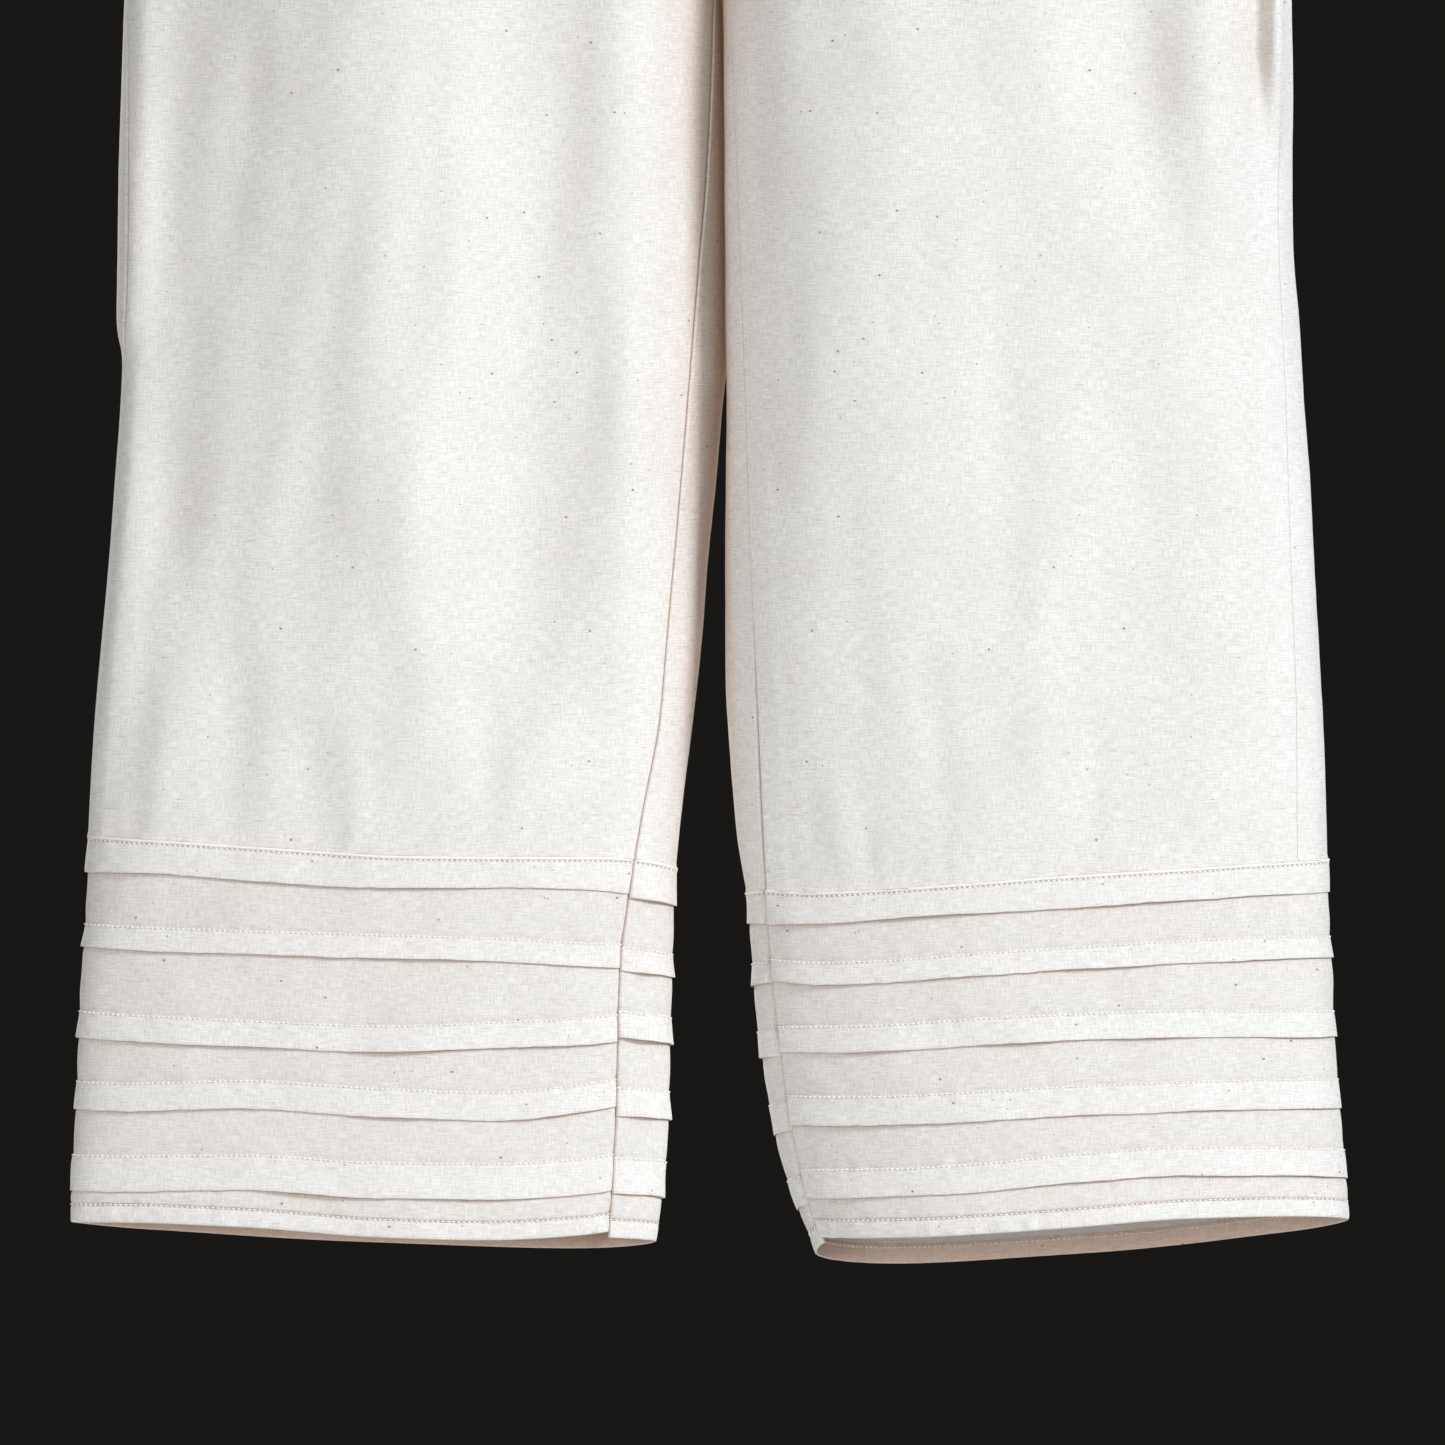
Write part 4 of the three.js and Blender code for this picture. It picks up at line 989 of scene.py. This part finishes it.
def cuff(leg, material):
    """A cuff: one strip round the leg, sewn up at the inseam, with five tucks and a narrow hem."""

    def start(z):
        return leg.inseam_angle(z)

    def end(z):
        return leg.inseam_angle(z) + TURN

    middle = np.array([CUFF_MIDDLE_Z])
    angle_rows, distance_rows = surface_angles(
        leg, middle, start, end, lambda width: seam_spacing(width, round(width / CUFF_STEP))
    )
    from_inseam = angle_rows[0] - leg.inseam_angle(CUFF_MIDDLE_Z)
    u = distance_rows[0]
    width = u[-1] + SEAM_HALF_GAP
    heights, offsets, plies, stitched = cuff_profile(leg, from_inseam, u, width)
    around = np.broadcast_to(u[:, None], heights.shape)
    angle = leg.inseam_angle(heights) + from_inseam[:, None]
    lines = [line for name, line, offset in stitched]
    relief = offsets + cuff_relief(leg, around, width, heights, lines)
    sections = surface_point(leg, heights, angle) + wall_direction(leg, heights, angle) * relief[..., None]
    steps = np.hypot(np.diff(heights, axis=1), np.diff(offsets, axis=1))
    down = -np.concatenate([np.zeros((len(u), 1)), np.cumsum(steps, axis=1)], axis=1)
    measures = (around - width / 2, down, plies)
    piece = cloth_mesh(f"cloth_cuff_{leg.name}", sections, *measures, material, caps="whole")
    finish_piece(piece, f"cuff_{leg.name}")
    paths = []
    for name, line, offset in stitched:
        angle = leg.inseam_angle(line) + from_inseam
        sunk = offset + cuff_relief(leg, u[:, None], width, line[:, None], lines)[:, 0]
        points = surface_point(leg, line, angle) + wall_direction(leg, line, angle) * sunk[:, None]
        paths.append(points[2:-2])
    stitches(f"stitches_cuff_{leg.name}", paths)


def stitch_tree():
    """Geometry Nodes: stitches of one length, laid end to end along each path."""
    tree = bpy.data.node_groups.new("running_stitch", "GeometryNodeTree")
    tree.is_modifier = True
    sockets = tree.interface
    sockets.new_socket("Paths", in_out="INPUT", socket_type="NodeSocketGeometry")
    for name in ("Pitch", "Stitch length", "Thread width"):
        sockets.new_socket(name, in_out="INPUT", socket_type="NodeSocketFloat")
    sockets.new_socket("Seed", in_out="INPUT", socket_type="NodeSocketInt")
    sockets.new_socket("Thread", in_out="INPUT", socket_type="NodeSocketMaterial")
    sockets.new_socket("Stitches", in_out="OUTPUT", socket_type="NodeSocketGeometry")
    given = node_of(tree, "NodeGroupInput").outputs
    path = node_of(tree, "GeometryNodeMeshToCurve", {"Mesh": given["Paths"]}).outputs["Curve"]
    spacing = {"Curve": path, "Length": given["Pitch"]}
    spaced = node_of(tree, "GeometryNodeResampleCurve", spacing, mode="LENGTH")
    tangent = node_of(tree, "GeometryNodeInputTangent").outputs["Tangent"]
    turned = node_of(tree, "FunctionNodeAlignRotationToVector", {"Vector": tangent}, axis="X")
    uneven = node_of(tree, "FunctionNodeRandomValue", {"Seed": given["Seed"]}, data_type="FLOAT")
    uneven.inputs[2].default_value = HALF_STITCH_SHARES[0]
    uneven.inputs[3].default_value = HALF_STITCH_SHARES[1]
    half_length = {0: given["Stitch length"], 1: uneven.outputs[1]}
    long = node_of(tree, "ShaderNodeMath", half_length, operation="MULTIPLY")
    thick = node_of(tree, "ShaderNodeMath", {0: given["Thread width"], 1: 0.5}, operation="MULTIPLY")
    size = node_of(tree, "ShaderNodeCombineXYZ", {
        "X": long.outputs[0], "Y": thick.outputs[0], "Z": thick.outputs[0],
    })
    grain = node_of(tree, "GeometryNodeMeshUVSphere", {"Segments": 6, "Rings": 4, "Radius": 1.0})
    placed = node_of(tree, "GeometryNodeInstanceOnPoints", {
        "Points": spaced.outputs["Curve"], "Instance": grain.outputs["Mesh"],
        "Rotation": turned.outputs["Rotation"], "Scale": size.outputs["Vector"],
    })
    real = node_of(tree, "GeometryNodeRealizeInstances", {"Geometry": placed.outputs["Instances"]})
    soft = node_of(tree, "GeometryNodeSetShadeSmooth", {"Geometry": real.outputs["Geometry"]})
    sewn = node_of(tree, "GeometryNodeSetMaterial", {
        "Geometry": soft.outputs["Geometry"], "Material": given["Thread"],
    })
    node_of(tree, "NodeGroupOutput", {"Stitches": sewn.outputs["Geometry"]})
    return tree


def stitches(name, paths):
    """Rows of stitches along paths of points in mm, as one plain mesh."""
    points = [tuple(point * MM) for path in paths for point in path]
    edges = []
    first = 0
    for path in paths:
        edges.extend((first + i, first + i + 1) for i in range(len(path) - 1))
        first += len(path)
    mesh = bpy.data.meshes.new(name + "_paths")
    mesh.from_pydata(points, edges, [])
    route = bpy.data.objects.new(name + "_paths", mesh)
    bpy.context.scene.collection.objects.link(route)
    modifier = route.modifiers.new("stitch", "NODES")
    modifier.node_group = running_stitch
    named = {item.name: item.identifier for item in running_stitch.interface.items_tree}
    modifier[named["Pitch"]] = STITCH_PITCH * MM
    modifier[named["Stitch length"]] = STITCH_LENGTH * MM
    modifier[named["Thread width"]] = THREAD_WIDTH * MM
    modifier[named["Seed"]] = STITCH_SEED
    modifier[named["Thread"]] = thread
    sewn = bpy.data.meshes.new_from_object(route.evaluated_get(bpy.context.evaluated_depsgraph_get()))
    route.modifiers.clear()
    bpy.data.objects.remove(route)
    piece = bpy.data.objects.new(name, sewn)
    bpy.context.scene.collection.objects.link(piece)
    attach(piece, "root")
    return piece


def waistband(material):
    """The elastic casing, gathered all round and pinched in by its rows of stitches."""
    half_width = abs(LEFT_OUTLINE[0]["outer"])
    half_depth = LEFT_DEPTH[0]["front"]
    angle = np.linspace(0, TURN, BAND_COLUMNS, endpoint=False)[:, None]
    across = unit(np.stack([half_depth * np.cos(angle), half_width * np.sin(angle), 0 * angle], axis=-1))
    low_z = -BAND_HEIGHT + BAND_LOW_INSET
    outer_z = np.linspace(-BAND_TOP_INSET, low_z, BAND_OUTER_ROWS)[None, :]
    inner_z = np.linspace(low_z, -BAND_TOP_INSET, BAND_INNER_ROWS)[None, :]
    z = np.concatenate([outer_z, inner_z], axis=1)
    is_outer = np.arange(z.shape[1])[None, :] < outer_z.shape[1]
    nearest = np.min([np.abs(z - row) for row in BAND_STITCH_ROWS], axis=0)
    free = smooth(nearest / BAND_FREE_REACH)
    ends = smooth(np.minimum(-z, z + BAND_HEIGHT) / BAND_END_REACH)
    low_end = smooth((-BAND_HEIGHT + BAND_LOW_FROM - z) / BAND_LOW_REACH)
    swell = BAND_HALF_THICKNESS + BAND_END_SWELL * ends + BAND_FREE_SWELL * free * ends
    swell = swell + BAND_LOW_SWELL * low_end
    coarse = BAND_GATHER_DEPTH * np.sin(BAND_GATHERS * angle)
    drift = sum(size * np.sin(waves * angle + start) for size, waves, start in BAND_DRIFTS)
    uneven = 1 - BAND_UNEVENNESS + BAND_UNEVENNESS * np.sin(11 * angle + 1.3) * np.sin(5 * angle)
    ruffles = BAND_RUFFLE_DEPTH * uneven * np.sin(BAND_RUFFLES * angle + drift)
    fine = ruffles * (BAND_HELD_SHARE + (1 - BAND_HELD_SHARE) * free)
    offset = coarse + fine + np.where(is_outer, swell, -swell)
    x = half_width * np.cos(angle)
    y = half_depth * np.sin(angle)
    point = np.stack(np.broadcast_arrays(x, y, z), axis=-1)
    sections = point + across * offset[..., None]
    edge_wave = BAND_EDGE_WAVE * np.sin(BAND_RUFFLES * angle + drift + 1)
    sections[..., 2] += np.where(z > -BAND_EDGE_WIDTH, edge_wave, 0)
    girth = math.pi * (half_width + half_depth)
    u = np.broadcast_to(girth * BAND_FULLNESS * angle / TURN, sections.shape[:2])
    v = np.broadcast_to(z, sections.shape[:2])
    piece = cloth_mesh("cloth_waistband", sections, u, v, 1, material, is_ring=True)
    finish_piece(piece, "waistband")
    paths = []
    sunk = coarse + ruffles * BAND_HELD_SHARE + BAND_STITCH_STAND
    for row in BAND_STITCH_ROWS:
        ring = np.stack([x, y, row + 0 * angle], axis=-1)
        ring = (ring + across * sunk[..., None])[:, 0]
        paths.append(np.concatenate([ring, ring[:1]]))
    stitches("stitches_waistband", paths)


def pocket_bag(leg, material):
    """A pocket bag: two plies lying together behind the front panel, from the side seam inwards."""
    down = np.linspace(0, 1, BAG_ROWS)[None, :]
    share = np.linspace(0, 1, BAG_COLUMNS)[:, None]
    z = BAG_TOP_Z + (BAG_END_Z - BAG_TOP_Z) * down
    width = BAG_WIDTH * np.sqrt(1 - np.maximum((down - BAG_ROUNDED_FROM) / BAG_ROUNDED_REACH, 0) ** 2)
    start = leg.side_angle(z) + (BAG_PAST_SEAM if leg.mouth_gapes else -BAG_SHORT_OF_SEAM)
    end = leg.angle_at(z, leg.side_x(z) - leg.side * width)
    angle = start + (end - start) * share
    z = z + 0 * angle
    point = surface_point(leg, z, angle)
    direction = wall_direction(leg, z, angle)
    from_seam = np.abs(leg.side_x(z) - point[..., 0])
    clear = BAG_CLEARANCE + smooth(from_seam / BAG_CLEARANCE_WIDTH)
    sunk = CLOTH + clear
    edge = np.minimum(
        np.minimum(share, 1 - share) * BAG_EDGE_ACROSS, np.minimum(down, 1 - down) * BAG_EDGE_DOWN
    )
    puff = BAG_THICKNESS * (BAG_EDGE_SHARE + (1 - BAG_EDGE_SHARE) * smooth(edge / BAG_EDGE_WIDTH))
    wavy = swells("bag_wave", 0, from_seam, z) * smooth(edge / BAG_CALM_WIDTH)
    outer = point - direction * (sunk + BAG_THICKNESS / 2 - puff / 2 - wavy)[..., None]
    inner = point - direction * (sunk + BAG_THICKNESS / 2 + puff / 2 - wavy)[..., None]
    sections = np.concatenate([outer, inner[:, ::-1]], axis=1)
    across = np.concatenate([from_seam, from_seam[:, ::-1]], axis=1)
    along = np.concatenate([z, z[:, ::-1]], axis=1)
    name = f"pocket_bag_{leg.name}"
    piece = cloth_mesh(f"cloth_{name}", sections, across, along, 1, material)
    finish_piece(piece, name)


def node_of(tree, kind, inputs=None, **settings):
    """Adds a node, sets its properties, and fills or links its inputs by name or number."""
    node = tree.nodes.new(kind)
    for key, value in settings.items():
        setattr(node, key, value)
    for key, value in (inputs or {}).items():
        socket = node.inputs[key]
        if isinstance(value, bpy.types.NodeSocket):
            tree.links.new(value, socket)
        else:
            socket.default_value = value
    return node


def cotton_material():
    """Undyed handloom cotton: plain weave, slubs along the weft, seed flecks and soft mottling, with
    painted shade in its hollows, on its insides and on its single plies, and a painted highlight on the
    crests of the cuffs' ridges.
    """
    material = bpy.data.materials.new("handloom_cotton")
    material.use_nodes = True
    tree = material.node_tree
    surface = tree.nodes["Principled BSDF"]
    cloth = node_of(tree, "ShaderNodeUVMap", uv_map="cloth").outputs["UV"]

    def scaled(across, down):
        """The cloth's own measures, divided into cells of that many mm across and down."""
        mapping = node_of(tree, "ShaderNodeMapping", {"Vector": cloth})
        mapping.inputs["Scale"].default_value = (1 / (across * MM), 1 / (down * MM), 1)
        return mapping.outputs["Vector"]

    def noise(across, down, detail):
        return node_of(tree, "ShaderNodeTexNoise", {
            "Vector": scaled(across, down), "Scale": 1, "Detail": detail, "Roughness": 0.55,
        }).outputs["Fac"]

    def ranged(value, low, high, to_low=0.0, to_high=1.0):
        return node_of(tree, "ShaderNodeMapRange", {
            "Value": value, "From Min": low, "From Max": high, "To Min": to_low, "To Max": to_high,
        }).outputs["Result"]

    def times(a, b):
        return node_of(tree, "ShaderNodeMath", {0: a, 1: b}, operation="MULTIPLY").outputs[0]

    def plus(a, b):
        return node_of(tree, "ShaderNodeMath", {0: a, 1: b}, operation="ADD").outputs[0]

    def mixed(amount, under, over):
        mix = node_of(tree, "ShaderNodeMix", {"Factor": amount}, data_type="RGBA")
        for socket, colour in ((mix.inputs[6], under), (mix.inputs[7], over)):
            if isinstance(colour, bpy.types.NodeSocket):
                tree.links.new(colour, socket)
            else:
                socket.default_value = (*colour, 1)
        return mix.outputs[2]

    def tinted(amount, under, tint):
        """The colour under, with a share of it multiplied by a tint."""
        mix = node_of(tree, "ShaderNodeMix", {"Factor": amount}, data_type="RGBA", blend_type="MULTIPLY")
        tree.links.new(under, mix.inputs[6])
        mix.inputs[7].default_value = (*tint, 1)
        return mix.outputs[2]

    warp = noise(0.62, 5, 1)
    weft = noise(6.5, 0.62, 1)
    crinkle = noise(5, 5, 3)
    slub = ranged(noise(9, 0.6, 2), 0.62, 0.76)
    streak = noise(12, 1.5, 3)
    mottle = noise(38, 46, 3)
    thread = plus(times(warp, 0.5), times(weft, 0.5))
    colour = mixed(ranged(mottle, 0.35, 0.65), UNDYED_DARK, UNDYED_LIGHT)
    colour = mixed(ranged(streak, 0.42, 0.66, 0.0, 0.21), colour, STREAK)
    colour = mixed(ranged(thread, 0.38, 0.62, 0.68, 0.0), colour, BETWEEN_THREADS)
    colour = mixed(times(slub, 0.65), colour, SLUB)
    doubled = node_of(tree, "ShaderNodeAttribute", attribute_name="plies").outputs["Fac"]
    # Darker single ply: thin cloth, and painted shade under the flaps.
    colour = tinted(ranged(doubled, 0, 1, 1, 0), colour, SINGLE_PLY_AND_SHADE_TINT)
    # Painted highlight: the ridge's crest is lightened where the light catches it.
    colour = mixed(ranged(doubled, 1, LIT_CREST, 0, 0.8), colour, PAINTED_CREST_HIGHLIGHT)
    # Painted shade on the inside faces of every piece.
    colour = tinted(ranged(doubled, INSIDE, 0, 1, 0), colour, PAINTED_INSIDE_SHADE)
    # Painted shade: ambient occlusion browns and darkens the colour under the flaps, in the pocket mouth
    # and between the legs.
    distance = {"Distance": PAINTED_SHADE_REACH * MM}
    open_air = node_of(tree, "ShaderNodeAmbientOcclusion", distance, samples=2).outputs["AO"]
    colour = tinted(ranged(open_air, 0.1, 0.85, 1, 0), colour, PAINTED_HOLLOW_SHADE)
    for cell, reach, keep in FLECKS:
        spots = node_of(tree, "ShaderNodeTexVoronoi", {
            "Vector": scaled(cell * 1.25, cell), "Scale": 1, "Randomness": 1,
        })
        near = ranged(spots.outputs["Distance"], reach, reach * 0.5)
        chosen = node_of(tree, "ShaderNodeSeparateColor", {"Color": spots.outputs["Color"]}).outputs[0]
        kept = node_of(tree, "ShaderNodeMath", {0: chosen, 1: keep}, operation="GREATER_THAN").outputs[0]
        colour = mixed(times(times(near, kept), 0.75), colour, SEED_FLECK)
    tree.links.new(colour, surface.inputs["Base Color"])
    surface.inputs["Roughness"].default_value = 0.92
    surface.inputs["Specular IOR Level"].default_value = 0.25
    surface.inputs["Sheen Weight"].default_value = 0.12
    surface.inputs["Sheen Roughness"].default_value = 0.6
    height = plus(times(thread, 0.10), plus(times(crinkle, 0.22), times(slub, 0.05)))
    bump = node_of(tree, "ShaderNodeBump", {"Height": height, "Strength": 0.5, "Distance": 1 * MM})
    tree.links.new(bump.outputs["Normal"], surface.inputs["Normal"])
    return material


def thread_material():
    """Cream sewing thread with its twist."""
    material = bpy.data.materials.new("sewing_thread")
    material.use_nodes = True
    tree = material.node_tree
    surface = tree.nodes["Principled BSDF"]
    place = node_of(tree, "ShaderNodeTexCoord").outputs["Object"]
    grain = {"Vector": place, "Scale": 2600, "Detail": 1}
    twist = node_of(tree, "ShaderNodeTexNoise", grain).outputs["Fac"]
    colour = node_of(tree, "ShaderNodeMix", {"Factor": twist}, data_type="RGBA")
    colour.inputs[6].default_value = (*THREAD_DARK, 1)
    colour.inputs[7].default_value = (*THREAD_LIGHT, 1)
    tree.links.new(colour.outputs[2], surface.inputs["Base Color"])
    surface.inputs["Roughness"].default_value = 0.7
    surface.inputs["Sheen Weight"].default_value = 0.2
    return material


cotton = cotton_material()
thread = thread_material()
running_stitch = stitch_tree()

left_leg = Leg(
    "left", -1, LEFT_OUTLINE, LEFT_DEPTH, LEFT_SEAMS, LEFT_FRONT_FOLDS, LEFT_BACK_FOLDS, LEFT_CUFF,
    LEFT_TUCK_DEPTHS, False,
)
right_leg = Leg(
    "right", 1, RIGHT_OUTLINE, RIGHT_DEPTH, RIGHT_SEAMS, RIGHT_FRONT_FOLDS, RIGHT_BACK_FOLDS, RIGHT_CUFF,
    RIGHT_TUCK_DEPTHS, True,
)
for leg in (left_leg, right_leg):
    panel(leg, True, cotton)
    panel(leg, False, cotton)
    cuff(leg, cotton)
    pocket_bag(leg, cotton)
waistband(cotton)


def area_light(name, place, aim_z, size, power, colour):
    """A round lamp aimed at a height on the garment's middle line."""
    light = bpy.data.lights.new(name, "AREA")
    light.shape = "DISK"
    light.size = size
    light.energy = power
    light.color = colour
    lamp = bpy.data.objects.new(name, light)
    lamp.location = place
    direction = np.array((0, 0, aim_z)) - np.array(place)
    across = math.hypot(direction[0], direction[1])
    tilt = math.atan2(across, -direction[2])
    heading = math.atan2(direction[1], direction[0]) - math.pi / 2
    lamp.rotation_euler = (tilt, 0, heading)
    bpy.context.scene.collection.objects.link(lamp)


def studio():
    """A pale floor well below the hems, a plain world and soft lights all round."""
    material = bpy.data.materials.new("pale_floor")
    material.use_nodes = True
    surface = material.node_tree.nodes["Principled BSDF"]
    surface.inputs["Base Color"].default_value = (*FLOOR_COLOUR, 1)
    surface.inputs["Roughness"].default_value = 0.8
    bpy.ops.mesh.primitive_circle_add(
        vertices=96, radius=FLOOR_RADIUS, fill_type="NGON", location=(0, 0, FLOOR_Z)
    )
    floor = bpy.context.object
    floor.name = "floor"
    floor.data.materials.append(material)
    world = bpy.data.worlds.new("studio")
    world.use_nodes = True
    world.node_tree.nodes["Background"].inputs["Color"].default_value = (*WORLD_COLOUR, 1)
    bpy.context.scene.world = world
    for lamp in LAMPS:
        area_light(**lamp)


def camera():
    """The camera faces the front squarely, far enough away for the photograph's flat perspective."""
    data = bpy.data.cameras.new("camera")
    data.lens_unit = "FOV"
    data.angle = 2 * math.atan(VIEW_WIDTH / 2 / CAMERA_DISTANCE)
    view = bpy.data.objects.new("camera", data)
    view.location = (VIEW_CENTRE_X * MM, -CAMERA_DISTANCE * MM, VIEW_CENTRE_Z * MM)
    view.rotation_euler = (math.pi / 2, 0, 0)
    bpy.context.scene.collection.objects.link(view)
    bpy.context.scene.camera = view


studio()
camera()
bpy.context.scene.view_settings.view_transform = "Standard"
bpy.context.view_layer.update()
